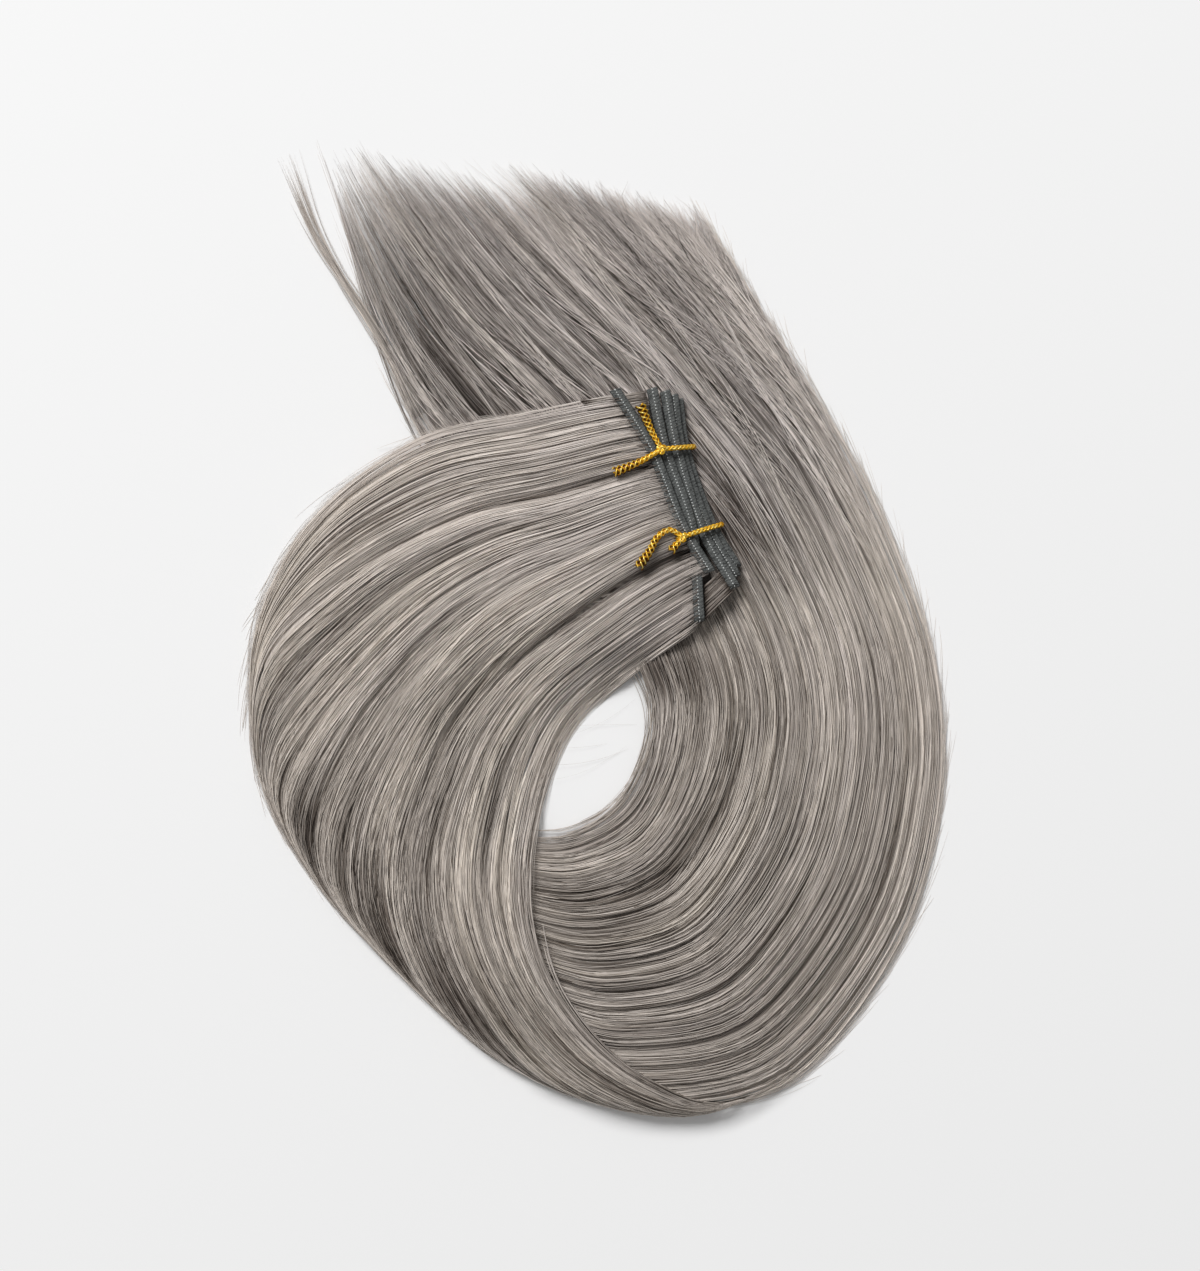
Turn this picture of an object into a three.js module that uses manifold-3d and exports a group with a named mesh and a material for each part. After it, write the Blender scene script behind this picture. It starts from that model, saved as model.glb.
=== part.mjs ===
// A straight hair weft, wound into one flat coil and tied round its folded tracks.
// Millimetres, +Z up. The coil lies on z = 0 with its cut tips towards +Y.
import * as THREE from 'three';
import { mergeVertices } from 'three/addons/utils/BufferGeometryUtils.js';
import Module from 'manifold-3d';

const wasm = await Module();
wasm.setup();

// Clearance that a piece keeps to its neighbours
const GAP = 0.3;

// Hair: locks side by side in a sweep, the rows of facets along it, and the furrows between its locks.
// The tips are shares of the sweep's length: the notch between two locks, and how far short each lock falls.
const LOCKS = 10;
const ROWS_PER_SECTION = 3;
const FURROW_DEPTH = 0.9;
const CROWN_POWER = 3;
const TIP_NOTCH = 0.018;
const TIP_REACH = [0, 0.006, 0.014, 0.012, 0.004, 0.0, 0.006, 0.008, 0.004, 0.006];

// Sections across the upper sweep, from under the tracks to the bottom of the coil.
// inner and outer are its edges in plan, and the heights are those of its edges and its crown.
const UPPER_SECTIONS = [
  { at: 'under the tracks', inner: [43.2, 12.0], outer: [28.2, 70.8], innerTop: 7.4, crown: 8.2, outerTop: 7.4 },
  { at: 'roots', inner: [30.9, 3.0], outer: [5.7, 71.4], innerTop: 10.5, crown: 13.8, outerTop: 10.5 },
  { at: 'head', inner: [13.8, -9.3], outer: [-22.2, 66.3], innerTop: 9.5, crown: 15.0, outerTop: 9.0 },
  { at: 'shoulder', inner: [0.9, -19.8], outer: [-52.8, 58.8], innerTop: 5.0, crown: 13.5, outerTop: 6.5 },
  { at: 'upper left', inner: [-7.2, -29.4], outer: [-81.6, 38.1], innerTop: 3.0, crown: 12.0, outerTop: 2.5 },
  { at: 'beside the eye', inner: [-12.3, -41.4], outer: [-99.0, 10.8], innerTop: 3.0, crown: 11.5, outerTop: 2.5 },
  { at: 'left', inner: [-15.6, -55.2], outer: [-103.8, -16.8], innerTop: 6.0, crown: 12.0, outerTop: 2.5 },
  { at: 'crossing', inner: [-17.4, -70.8], outer: [-99.6, -46.8], innerTop: 9.5, crown: 12.5, outerTop: 2.5 },
  { at: 'lower left', inner: [-15.9, -87.3], outer: [-83.4, -75.3], innerTop: 9.8, crown: 12.5, outerTop: 2.5 },
  { at: 'turn', inner: [-9.6, -105.3], outer: [-58.2, -102.9], innerTop: 9.8, crown: 12.3, outerTop: 2.5 },
  { at: 'gather', inner: [3.3, -121.8], outer: [-29.7, -127.8], innerTop: 9.2, crown: 11.5, outerTop: 2.5 },
  { at: 'bottom', inner: [19.8, -133.8], outer: [0.9, -141.6], innerTop: 8.2, crown: 9.6, outerTop: 2.5 },
  { at: 'end', inner: [40.8, -140.6], outer: [31.8, -144.9], innerTop: 5.6, crown: 6.4, outerTop: 2.5 },
];

// Sections across the lower sweep, from under the upper one, round the eye of the coil, to the cut tips
const LOWER_SECTIONS = [
  { at: 'hidden start', inner: [-49.2, -54.3], outer: [-34.2, -114.3], innerTop: 1.5, crown: 4.0, outerTop: 1.5 },
  { at: 'out from under', inner: [-16.8, -60.0], outer: [-8.7, -135.0], innerTop: 3.5, crown: 7.0, outerTop: 2.0 },
  { at: 'below the eye', inner: [-1.2, -56.4], outer: [16.8, -143.7], innerTop: 3.5, crown: 8.0, outerTop: 2.0 },
  { at: 'bottom', inner: [8.4, -48.3], outer: [58.8, -135.0], innerTop: 3.5, crown: 8.5, outerTop: 2.5 },
  { at: 'lower right', inner: [13.8, -36.3], outer: [92.7, -91.8], innerTop: 3.5, crown: 8.5, outerTop: 2.5 },
  { at: 'right', inner: [15.3, -24.3], outer: [104.4, -46.8], innerTop: 3.5, crown: 8.5, outerTop: 2.5 },
  { at: 'upper right', inner: [12.6, -13.8], outer: [102.9, -10.8], innerTop: 3.5, crown: 7.6, outerTop: 2.5 },
  { at: 'below the head', inner: [1.8, 5.7], outer: [93.3, 19.8], innerTop: 3.0, crown: 6.3, outerTop: 2.5 },
  { at: 'under the head', inner: [-19.2, 31.2], outer: [76.8, 55.2], innerTop: 3.0, crown: 6.1, outerTop: 2.5 },
  { at: 'above the head', inner: [-46.2, 51.6], outer: [57.9, 85.8], innerTop: 2.5, crown: 5.6, outerTop: 2.2 },
  { at: 'tail', inner: [-62.7, 83.7], outer: [44.4, 107.4], innerTop: 2.0, crown: 4.4, outerTop: 1.8 },
  { at: 'tips', inner: [-80.7, 140.7], outer: [31.8, 127.2], innerTop: 1.0, crown: 1.6, outerTop: 1.0 },
];

// Deeper partings between the three main locks of the upper sweep: which furrow, how deep, how far along it runs
const PARTINGS = [
  { furrow: 3, depth: 2.6, until: 0.55 },
  { furrow: 7, depth: 2.6, until: 0.6 },
];

// The stray wisp beside the tips: places along it, with its width and height there
const WISP = [
  { place: [-60.0, 82.0], width: 3.6, height: 2.4 },
  { place: [-67.5, 94.5], width: 4.0, height: 2.2 },
  { place: [-76.0, 107.5], width: 3.6, height: 2.0 },
  { place: [-84.0, 121.5], width: 3.0, height: 1.6 },
  { place: [-93.0, 144.5], width: 1.2, height: 0.8 },
];

// Tracks: a stitched strip of this width and thickness, its runs a row each, from their upper to their lower end
const TRACK_WIDTH = 3.4;
const TRACK_THICKNESS = 1.0;
const TRACK_ACROSS = new THREE.Vector3(0.95, 0.31, 0).normalize();
const FOLD_REACH = 1.3;
const TOP_RUN = { z: 14.9, top: [6.3, 72.6], upperTie: [16.7, 55.8], lowerTie: [26.7, 31.5], bottom: [34.5, 18.6] };
const FOLDED_RUNS = [
  { z: 13.3, top: [17.3, 73.0], upperTie: [21.2, 55.0], lowerTie: [29.0, 32.0], bottom: [31.5, 3.9] },
  { z: 11.9, top: [21.2, 72.3], upperTie: [24.6, 55.2], lowerTie: [32.3, 31.2], bottom: [42.0, 14.1] },
  { z: 10.5, top: [23.6, 71.2], upperTie: [25.9, 55.5], lowerTie: [34.0, 31.8], bottom: [42.4, 17.4] },
  { z: 9.1, top: [25.2, 69.9], upperTie: [27.1, 55.8], lowerTie: [35.4, 32.2], bottom: [42.6, 20.2] },
];
const RUN_STEPS = 10;

// Ties: elastic cord with swollen cut ends. Each route is a list of places along the cord.
const CORD_RADIUS = 0.7;
const CORD_END_RADIUS = 1.3;
const CORD_SIDES = 8;
const KNOT_SIZE = [1.7, 1.5, 1.2];
const UPPER_TIE = {
  knot: [20.1, 54.9, 16.5],
  band: [
    [20.1, 54.9, 16.5], [23.6, 55.3, 15.4], [27.2, 55.7, 12.8], [29.0, 55.9, 10.9], [29.9, 56.0, 9.1],
    [28.7, 55.8, 7.5], [24.0, 54.8, 7.4], [17.5, 53.6, 7.6], [14.2, 53.0, 10.0], [14.0, 53.0, 13.8],
    [15.8, 53.7, 16.4], [20.1, 54.9, 16.5],
  ],
  tails: [
    [[20.1, 54.9, 16.5], [17.1, 60.3, 16.5], [13.8, 68.1, 15.6]],
    [[20.1, 54.9, 16.5], [13.2, 51.0, 16.6], [6.0, 48.0, 15.8]],
  ],
};
const LOWER_TIE = {
  knot: [26.4, 28.8, 16.6],
  band: [
    [26.4, 28.8, 16.6], [30.8, 30.4, 15.8], [35.0, 31.8, 12.9], [37.4, 32.5, 11.0], [38.2, 32.8, 9.2],
    [37.0, 32.4, 7.5], [31.5, 30.5, 7.4], [27.0, 28.9, 7.6], [25.0, 28.2, 10.0], [24.9, 28.2, 13.8],
    [25.3, 28.4, 16.2], [26.4, 28.8, 16.6],
  ],
  tails: [
    [[26.4, 28.8, 16.6], [22.5, 30.9, 17.2], [18.9, 28.8, 17.0], [16.8, 25.0, 16.8], [13.2, 19.8, 16.4]],
    [[26.4, 28.8, 16.6], [22.8, 24.6, 16.8]],
  ],
};
const BAND_STEPS = 40;
const TAIL_STEPS = 8;

// Colours read from the lit side of each material
const HAIR = { color: 0xa39c93, roughness: 0.45, metalness: 0.0 };
const TRACK = { color: 0x585c5a, roughness: 0.8, metalness: 0.0 };
const GOLD = { color: 0xd4a017, roughness: 0.35, metalness: 0.7 };

function solid(geometry) {
  geometry.deleteAttribute('normal');
  geometry.deleteAttribute('uv');
  const merged = mergeVertices(geometry, 1e-4);
  const vertProperties = new Float32Array(merged.attributes.position.array);
  const triVerts = new Uint32Array(merged.index.array);
  return new wasm.Manifold(new wasm.Mesh({ numProp: 3, vertProperties, triVerts }));
}

function piece(name, body, finish) {
  const { vertProperties, triVerts } = body.getMesh();
  const geometry = new THREE.BufferGeometry();
  geometry.setAttribute('position', new THREE.BufferAttribute(vertProperties, 3));
  geometry.setIndex(new THREE.BufferAttribute(triVerts, 1));
  geometry.computeVertexNormals();
  const mesh = new THREE.Mesh(geometry, new THREE.MeshStandardMaterial(finish));
  mesh.name = name;
  return mesh;
}

function meshOf(points, faces) {
  const geometry = new THREE.BufferGeometry().setFromPoints(points);
  geometry.setIndex(faces);
  return geometry;
}

// A closed skin over rings of equally many points, with flat ends
function loft(rings) {
  const sides = rings[0].length;
  const last = (rings.length - 1) * sides;
  const faces = [];
  for (let r = 0; r < rings.length - 1; r++) {
    for (let k = 0; k < sides; k++) {
      const a = r * sides + k;
      const b = r * sides + (k + 1) % sides;
      faces.push(a, b, a + sides, b, b + sides, a + sides);
    }
  }
  for (let k = 1; k < sides - 1; k++) {
    faces.push(0, k + 1, k, last, last + k, last + k + 1);
  }
  return meshOf(rings.flat(), faces);
}

// How far a furrow is cut into the sweep at this column, and this far along it
function furrow(column, along, partings) {
  if (column % 2 === 1) return 0;
  let depth = FURROW_DEPTH;
  for (const parting of partings) {
    if (parting.furrow * 2 === column) depth += parting.depth * Math.max(0, 1 - along / parting.until);
  }
  return depth;
}

// A place on top of a section: across runs from its inner edge, 0, to its outer edge, 1
function onSection({ inner, outer, innerTop, crown, outerTop }, across, grow) {
  const width = Math.hypot(outer[0] - inner[0], outer[1] - inner[1]);
  const share = 0.5 + (across - 0.5) * (1 + 2 * grow / width);
  const edge = across < 0.5 ? innerTop : outerTop;
  const rise = 1 - Math.abs(2 * across - 1) ** CROWN_POWER;
  return new THREE.Vector3(
    THREE.MathUtils.lerp(inner[0], outer[0], share),
    THREE.MathUtils.lerp(inner[1], outer[1], share),
    edge + (crown - edge) * rise + grow,
  );
}

// How much of the sweep's length this column has: locks are cut unevenly, with a notch beside each
function tipShare(column, notch) {
  const lock = Math.min(LOCKS - 1, Math.floor(column / 2));
  return 1 - TIP_REACH[lock] - (column % 2 === 0 ? notch : 0);
}

// A mass of hair on a flat base: two columns of facets to a lock, a crest and a furrow.
// grow swells it on every side, for the room that it needs inside a neighbour.
function sweep(sections, { partings = [], tipNotch = 0, grow = 0 }) {
  const columns = LOCKS * 2;
  const rows = (sections.length - 1) * ROWS_PER_SECTION;
  const across = columns + 1;
  const tops = [];
  const bases = [];
  const lines = Array.from({ length: across }, (_, column) => new THREE.CatmullRomCurve3(
    sections.map((section) => onSection(section, column / columns, grow)), false, 'catmullrom', 0.5,
  ));
  for (let row = 0; row <= rows; row++) {
    for (let column = 0; column <= columns; column++) {
      const reach = tipNotch > 0 ? tipShare(column, tipNotch) : 1;
      const along = row / rows;
      const top = lines[column].getPoint(along * reach);
      if (row === 0) top.addScaledVector(lines[column].getTangent(0), -grow);
      const shallow = Math.min(1, (top.z - grow) / 4);
      const inside = column > 0 && column < columns;
      if (inside && grow === 0) top.z -= furrow(column, along, partings) * shallow;
      tops.push(top);
      bases.push(new THREE.Vector3(top.x, top.y, -grow));
    }
  }
  const under = tops.length;
  const faces = [];
  const quad = (a, b, c, d) => faces.push(a, b, c, a, c, d);
  for (let row = 0; row < rows; row++) {
    const from = row * across;
    for (let column = 0; column < columns; column++) {
      const a = from + column;
      quad(a, a + 1, a + 1 + across, a + across);
      quad(under + a, under + a + across, under + a + 1 + across, under + a + 1);
    }
    const far = from + columns;
    quad(from, from + across, under + from + across, under + from);
    quad(far, under + far, under + far + across, far + across);
  }
  for (let column = 0; column < columns; column++) {
    const end = rows * across + column;
    quad(column, under + column, under + column + 1, column + 1);
    quad(end, end + 1, under + end + 1, under + end);
  }
  return solid(meshOf([...tops, ...bases], faces));
}

// A thin lock on the floor that narrows to its tip
function wisp(rows) {
  const rings = rows.map(({ place, width, height }, k) => {
    const before = rows[Math.max(0, k - 1)].place;
    const after = rows[Math.min(rows.length - 1, k + 1)].place;
    const heading = new THREE.Vector2(after[0] - before[0], after[1] - before[1]).normalize();
    const at = (side, z) => new THREE.Vector3(
      place[0] - heading.y * side * width / 2, place[1] + heading.x * side * width / 2, z,
    );
    return [at(1, 0), at(1, height / 2), at(0, height), at(-1, height / 2), at(-1, 0)];
  });
  return solid(loft(rings));
}

function runPlaces({ z, top, upperTie, lowerTie, bottom }) {
  return [top, upperTie, lowerTie, bottom].map(([x, y]) => new THREE.Vector3(x, y, z));
}

// A flat strip along a route, its width always across the head
function strip(places, grow) {
  const curve = new THREE.CatmullRomCurve3(places);
  const steps = RUN_STEPS * (places.length / 4);
  const rings = [];
  for (let k = 0; k <= steps; k++) {
    const middle = curve.getPoint(k / steps);
    const heading = curve.getTangent(k / steps);
    const up = new THREE.Vector3().crossVectors(heading, TRACK_ACROSS).normalize();
    const corner = (side, level) => middle.clone()
      .addScaledVector(TRACK_ACROSS, side * (TRACK_WIDTH / 2 + grow))
      .addScaledVector(up, level * (TRACK_THICKNESS / 2 + grow));
    rings.push([corner(1, 1), corner(-1, 1), corner(-1, -1), corner(1, -1)]);
  }
  return solid(loft(rings));
}

// Runs joined end to end by turned folds, at the top and the bottom by turns
function foldedPlaces(runs) {
  const places = [];
  runs.forEach((run, k) => {
    const upwards = k % 2 === 0;
    const ordered = runPlaces(run);
    if (upwards) ordered.reverse();
    if (k > 0) {
      const last = places.at(-1);
      const fold = last.clone().lerp(ordered[0], 0.5);
      const heading = last.clone().sub(places.at(-2)).setZ(0).normalize();
      places.push(fold.addScaledVector(heading, FOLD_REACH));
    }
    places.push(...ordered);
  });
  return places;
}

function cordTube(places, radius, steps) {
  const section = new THREE.Shape();
  section.absarc(0, 0, radius, 0, Math.PI * 2, false);
  const extrudePath = new THREE.CatmullRomCurve3(places.map((place) => new THREE.Vector3(...place)));
  return solid(new THREE.ExtrudeGeometry(section, { steps, curveSegments: CORD_SIDES / 2, extrudePath }));
}

// A free end of the cord, swelling to its frayed cut
function tail(places, grow) {
  const curve = new THREE.CatmullRomCurve3(places.map((place) => new THREE.Vector3(...place)));
  const { normals, binormals } = curve.computeFrenetFrames(TAIL_STEPS, false);
  const rings = [];
  for (let k = 0; k <= TAIL_STEPS; k++) {
    const middle = curve.getPointAt(k / TAIL_STEPS);
    const radius = THREE.MathUtils.lerp(CORD_RADIUS, CORD_END_RADIUS, (k / TAIL_STEPS) ** 1.5) + grow;
    rings.push(Array.from({ length: CORD_SIDES }, (_, side) => {
      const turn = 2 * Math.PI * side / CORD_SIDES;
      return middle.clone()
        .addScaledVector(normals[k], radius * Math.cos(turn))
        .addScaledVector(binormals[k], radius * Math.sin(turn));
    }));
  }
  return solid(loft(rings));
}

function tie({ knot, band, tails }, grow = 0) {
  const ball = new THREE.SphereGeometry(1, 10, 6);
  ball.scale(...KNOT_SIZE.map((size) => size + grow));
  ball.translate(...knot);
  const parts = [cordTube(band, CORD_RADIUS + grow, BAND_STEPS), ...tails.map((places) => tail(places, grow))];
  return parts.reduce((whole, part) => whole.add(part), solid(ball));
}

const lowerHair = sweep(LOWER_SECTIONS, { tipNotch: TIP_NOTCH }).add(wisp(WISP));
const topTrack = strip(runPlaces(TOP_RUN), 0);
const foldedTrack = strip(foldedPlaces(FOLDED_RUNS), 0);
const upperTie = tie(UPPER_TIE);
const lowerTie = tie(LOWER_TIE);

const rooms = [
  sweep(LOWER_SECTIONS, { tipNotch: TIP_NOTCH, grow: GAP }),
  strip(runPlaces(TOP_RUN), GAP),
  strip(foldedPlaces(FOLDED_RUNS), GAP),
  tie(UPPER_TIE, GAP),
  tie(LOWER_TIE, GAP),
];
const upperHair = rooms.reduce(
  (hair, room) => hair.subtract(room),
  sweep(UPPER_SECTIONS, { partings: PARTINGS }),
);

const weft = new THREE.Group();
weft.add(
  piece('lower_hair', lowerHair, HAIR),
  piece('upper_hair', upperHair, HAIR),
  piece('top_track', topTrack, TRACK),
  piece('folded_track', foldedTrack, TRACK),
  piece('upper_tie', upperTie, GOLD),
  piece('lower_tie', lowerTie, GOLD),
);

export default weft;
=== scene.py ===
from collections import namedtuple

import bmesh
import bpy
import numpy as np
from bpy.props import FloatProperty, FloatVectorProperty, IntProperty
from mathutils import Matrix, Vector
from mathutils.bvhtree import BVHTree


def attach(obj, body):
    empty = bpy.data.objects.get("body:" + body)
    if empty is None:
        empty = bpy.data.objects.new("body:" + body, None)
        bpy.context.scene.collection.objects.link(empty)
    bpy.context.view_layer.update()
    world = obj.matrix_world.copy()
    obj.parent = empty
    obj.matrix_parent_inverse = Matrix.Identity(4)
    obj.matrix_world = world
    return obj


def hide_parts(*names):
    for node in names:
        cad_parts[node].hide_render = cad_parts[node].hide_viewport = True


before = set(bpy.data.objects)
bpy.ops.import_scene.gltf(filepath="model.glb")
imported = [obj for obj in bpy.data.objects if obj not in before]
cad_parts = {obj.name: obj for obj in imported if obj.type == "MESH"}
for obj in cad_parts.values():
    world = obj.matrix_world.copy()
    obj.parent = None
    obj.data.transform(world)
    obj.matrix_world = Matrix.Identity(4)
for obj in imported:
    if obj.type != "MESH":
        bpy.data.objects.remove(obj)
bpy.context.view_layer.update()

bl_info = {
    "name": "Coiled hair weft",
    "version": (1, 0, 0),
    "blender": (4, 5, 0),
    "location": "View3D > Sidebar > Weft",
    "description": "Combs a coil of grey hair, its stitched tracks and its two gold ties",
    "category": "Object",
}

MM = 0.001
UP = np.array([0.0, 0.0, 1.0])
NEAR_FLOOR = 0.15 * MM
SEEDS = {"lower": 11, "upper": 23, "second": 29, "loose": 37, "stitches": 41, "ties": 53}

# The camera stands over the middle of the view, the soft light to the upper left, in metres.
PHOTO_HEIGHT = 1271
PHOTO_PIXEL = 0.3 * MM
VIEW_MIDDLE = (1.8 * MM, -0.45 * MM, 6.0 * MM)
FLOOR_SIZE = 8.0
KEY_PLACE = (-1.6, 2.95, 3.65)
KEY_SIZE = 2.2

# Bands of hair, section by section, in millimetres: x and y of the inner edge, which faces the eye of the coil, x and y
# of the outer edge, and the heights of the inner edge, the crown and the outer edge.
UPPER_SECTIONS = {
    "under the tracks": (43.2, 12.0, 28.2, 70.8, 7.4, 8.2, 7.4),
    "roots": (30.9, 3.0, 5.7, 71.4, 10.5, 13.8, 10.5),
    "head": (13.8, -9.3, -22.2, 66.3, 9.5, 15.0, 9.0),
    "shoulder": (0.9, -19.8, -52.8, 58.8, 5.0, 13.5, 6.5),
    "upper left": (-7.2, -29.4, -81.6, 38.1, 3.0, 12.0, 2.5),
    "beside the eye": (-12.3, -41.4, -99.0, 10.8, 3.0, 11.5, 2.5),
    "left": (-15.6, -55.2, -103.8, -16.8, 6.0, 12.0, 2.5),
    "crossing": (-17.4, -70.8, -99.6, -46.8, 9.5, 12.5, 2.5),
    "lower left": (-15.9, -87.3, -83.4, -75.3, 9.8, 12.5, 2.5),
    "turn": (-9.6, -105.3, -58.2, -102.9, 9.8, 12.3, 2.5),
    "gather": (3.3, -121.8, -29.7, -127.8, 9.2, 11.5, 2.5),
    "bottom": (19.8, -133.8, 0.9, -141.6, 8.2, 9.6, 2.5),
    "end": (40.8, -140.6, 31.8, -144.9, 5.6, 6.4, 2.5),
    "tucked in": (66.0, -128.5, 62.0, -132.5, 3.2, 4.0, 2.0),
}
LOWER_SECTIONS = {
    "hidden start": (-49.2, -54.3, -34.2, -114.3, 1.5, 4.0, 1.5),
    "out from under": (-16.8, -60.0, -8.7, -135.0, 3.5, 7.0, 2.0),
    "below the eye": (-1.2, -56.4, 16.8, -143.7, 3.5, 8.0, 2.0),
    "bottom": (8.4, -48.3, 58.8, -135.0, 3.5, 8.5, 2.5),
    "lower right": (13.8, -36.3, 92.7, -91.8, 3.5, 8.5, 2.5),
    "right": (15.3, -24.3, 104.4, -46.8, 3.5, 8.5, 2.5),
    "upper right": (12.6, -13.8, 102.9, -10.8, 3.5, 7.6, 2.5),
    "below the head": (1.8, 5.7, 93.3, 19.8, 3.0, 6.3, 2.5),
    "under the head": (-19.2, 31.2, 76.8, 55.2, 3.0, 6.1, 2.5),
    "above the head": (-46.2, 51.6, 57.9, 85.8, 2.5, 5.6, 2.2),
    "tail": (-62.7, 83.7, 44.4, 107.4, 2.0, 4.4, 1.8),
    "tips": (-80.7, 140.7, 31.8, 127.2, 1.0, 1.6, 1.0),
}
# Partings in a band: the place across it at the middle of the run, the drift over the run, where along the band it
# begins and ends, the gap, the depth in millimetres, and how wide the valley is on either side.
# The depth also darkens the hair in the valley, as painted shade.
UPPER_PARTINGS = [
    (0.295, 0.0, -0.06, 0.46, 0.022, 4.0, 0.014, 0.010),
    (0.678, 0.0, -0.06, 0.44, 0.022, 4.0, 0.010, 0.015),
]
LOWER_PARTINGS = [
    (0.31, 0.07, 0.16, 0.62, 0.010, 3.0, 0.03, 0.012),
    (0.55, 0.02, 0.25, 0.6, 0.004, 1.6, 0.02, 0.01),
]
# Patches of painted light and shade on a band, which make it paler or deeper in places, such as the painted shadow
# beside the tracks and under the lower lock: middle along and across, reach along and across, and by how much.
UPPER_LIGHT_AND_SHADE = [
    (0.17, 0.75, 0.13, 0.4, 0.2), (0.24, 0.4, 0.12, 0.3, 0.12), (0.6, 0.12, 0.12, 0.2, 0.25),
    (0.74, 0.45, 0.05, 0.5, -0.16), (0.40, 0.85, 0.1, 0.25, 0.1), (0.13, 0.12, 0.06, 0.15, 0.12),
    (0.27, 0.05, 0.12, 0.10, 0.26), (0.84, 0.5, 0.06, 0.5, -0.17),
]
LOWER_LIGHT_AND_SHADE = [
    (0.2, 0.35, 0.08, 0.4, -0.12), (0.62, 0.8, 0.08, 0.25, 0.12), (0.69, 0.60, 0.045, 0.12, -0.48),
    (0.55, 0.12, 0.05, 0.15, -0.48), (0.7, 0.85, 0.06, 0.2, 0.14), (0.94, 0.17, 0.03, 0.05, -0.14),
    (0.90, 0.72, 0.03, 0.05, -0.14), (0.84, 0.02, 0.08, 0.06, 0.18), (0.985, 0.9, 0.05, 0.18, 0.22),
    (0.12, 0.235, 0.07, 0.05, -0.36), (0.29, 0.255, 0.11, 0.028, -0.3), (0.47, 0.29, 0.1, 0.028, -0.26),
    (0.2, 0.14, 0.16, 0.045, 0.1), (0.27, 0.34, 0.14, 0.04, 0.12), (0.14, 0.45, 0.1, 0.035, 0.12),
    (0.22, 0.8, 0.09, 0.07, -0.13),
]
# Locks and clumps in a band, the cells of its tones across and along it (shade, streaks, locks and warmth), and the
# shade and warmth that these go round.
LOCKS = 20
CLUMPS = 130
TONE_CELLS = [(14, 6), (160, 6), (44, 1), (22, 4)]
MIDDLE_SHADE, MIDDLE_WARMTH = 0.68, 0.58
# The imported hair: faces across and along it, and how far below the loose strands it lies.
MASS_COLUMNS, MASS_ROWS = 104, 72
MASS_DEPTH = 0.8 * MM
# How near the inner edge the strands of a turn begin, as a share of the band's width.
LOWER_FIRST, UPPER_FIRST = 0.008, 0.03
# Where the tips end, past or short of the last section, as a share of the band's length.
TIP_ACROSS = [0, 0.05, 0.15, 0.25, 0.41, 0.52, 0.56, 0.6, 0.7, 0.85, 0.93, 1]
TIP_REACH = [-0.034, -0.012, -0.004, -0.008, -0.01, -0.012, -0.002, 0.007, 0.002, 0, -0.005, -0.03]
WISP_PATH = [
    (-52, 66, 2.6), (-60, 82, 2.4), (-67.5, 94.5, 2.2), (-76, 107.5, 2.0), (-84, 121.5, 1.6), (-93, 144.5, 1.0),
]
# The line that the hair is sewn to, as y and x, how many bundles it is sewn in, and the heights of the seam on the
# top track and, where y is less than SEAM_STEP, on the folded one.
ROOT_LINE = np.array([(3.9, 31.5), (18.5, 31.2), (18.6, 34.5), (31.5, 26.7), (55.8, 16.7), (72.6, 6.3)]) * MM
BUNDLES = 62
SEAM_STEP, TOP_SEAM, FOLDED_SEAM = 18.8, 15.2, 13.6
# Strands at the inner edge of the head, and as many beside the eye.
EDGE_STRANDS = 150
EYE_ARCS = 10
# Hair sewn to the lower tracks, in millimetres: the line of its roots and the line where it goes under.
SecondRow = namedtuple("SecondRow", "name strands shade roots ends")
SECOND_ROWS = [
    SecondRow(
        "second_row_strands", 170, 0.6,
        [(15.4, 72.6, 13.6), (18.3, 58.0, 13.6)], [(-4.0, 69.5, 11.5), (6.0, 55.0, 11.8)]),
    # Painted shadow: the hair under the fold is given a deeper shade.
    SecondRow(
        "fold_strands", 190, 0.3,
        [(37.6, 18.8, 12.3), (41.4, 12.6, 12.3)], [(32.4, 14.0, 11.6), (31.8, 3.0, 9.8)]),
]
# Single hairs: the edge of the band they leave (0 is the inner one), the part of it they start on, how far they stand
# off as a share of the band's width, how many there are for each stray strand, and whether their ends stand free.
Stray = namedtuple("Stray", "name sections edge first last stand part free")
STRAYS = [
    Stray("upper_strays", UPPER_SECTIONS, 1, 0.12, 0.8, 0.01, 1.5, False),
    Stray("lower_strays", LOWER_SECTIONS, 1, 0.12, 0.72, 0.01, 1.0, False),
    Stray("eye_strays", LOWER_SECTIONS, 0, 0.12, 0.28, 0.008, 0.15, False),
    Stray("upper_fuzz", UPPER_SECTIONS, 1, 0.1, 0.88, 0.016, 1.6, True),
    Stray("lower_fuzz", LOWER_SECTIONS, 1, 0.22, 0.96, 0.017, 2.4, True),
    Stray("tail_fuzz", LOWER_SECTIONS, 0, 0.76, 0.94, 0.012, 0.6, True),
]

# The sewn tracks, one run for each pass, from the top of the head to its bottom. The ends of a folded run drop.
TRACK_ACROSS = np.array([0.95, 0.31, 0.0]) / np.hypot(0.95, 0.31)
TOP_RUN = [(6.3, 72.6, 14.9), (16.7, 55.8, 14.9), (26.7, 31.5, 14.9), (34.5, 18.6, 14.9)]
FOLDED_RUNS = [
    [(17.3, 73.0, 13.3), (21.2, 55.0, 13.3), (29.0, 32.0, 13.3), (31.5, 3.9, 13.3)],
    [(21.2, 72.3, 11.9), (24.6, 55.2, 11.9), (32.3, 31.2, 11.9), (42.0, 14.1, 11.9)],
    [(23.6, 71.2, 10.5), (25.9, 55.5, 10.5), (34.0, 31.8, 10.5), (42.4, 17.4, 10.5)],
    [(25.2, 69.9, 9.1), (27.1, 55.8, 9.1), (35.4, 32.2, 9.1), (42.6, 20.2, 9.1)],
]
FOLD_REACH = 1.2
TOP_DROP, FOLD_DROP = 0.3, 1.3
TRACK_SIDES = 16
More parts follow.
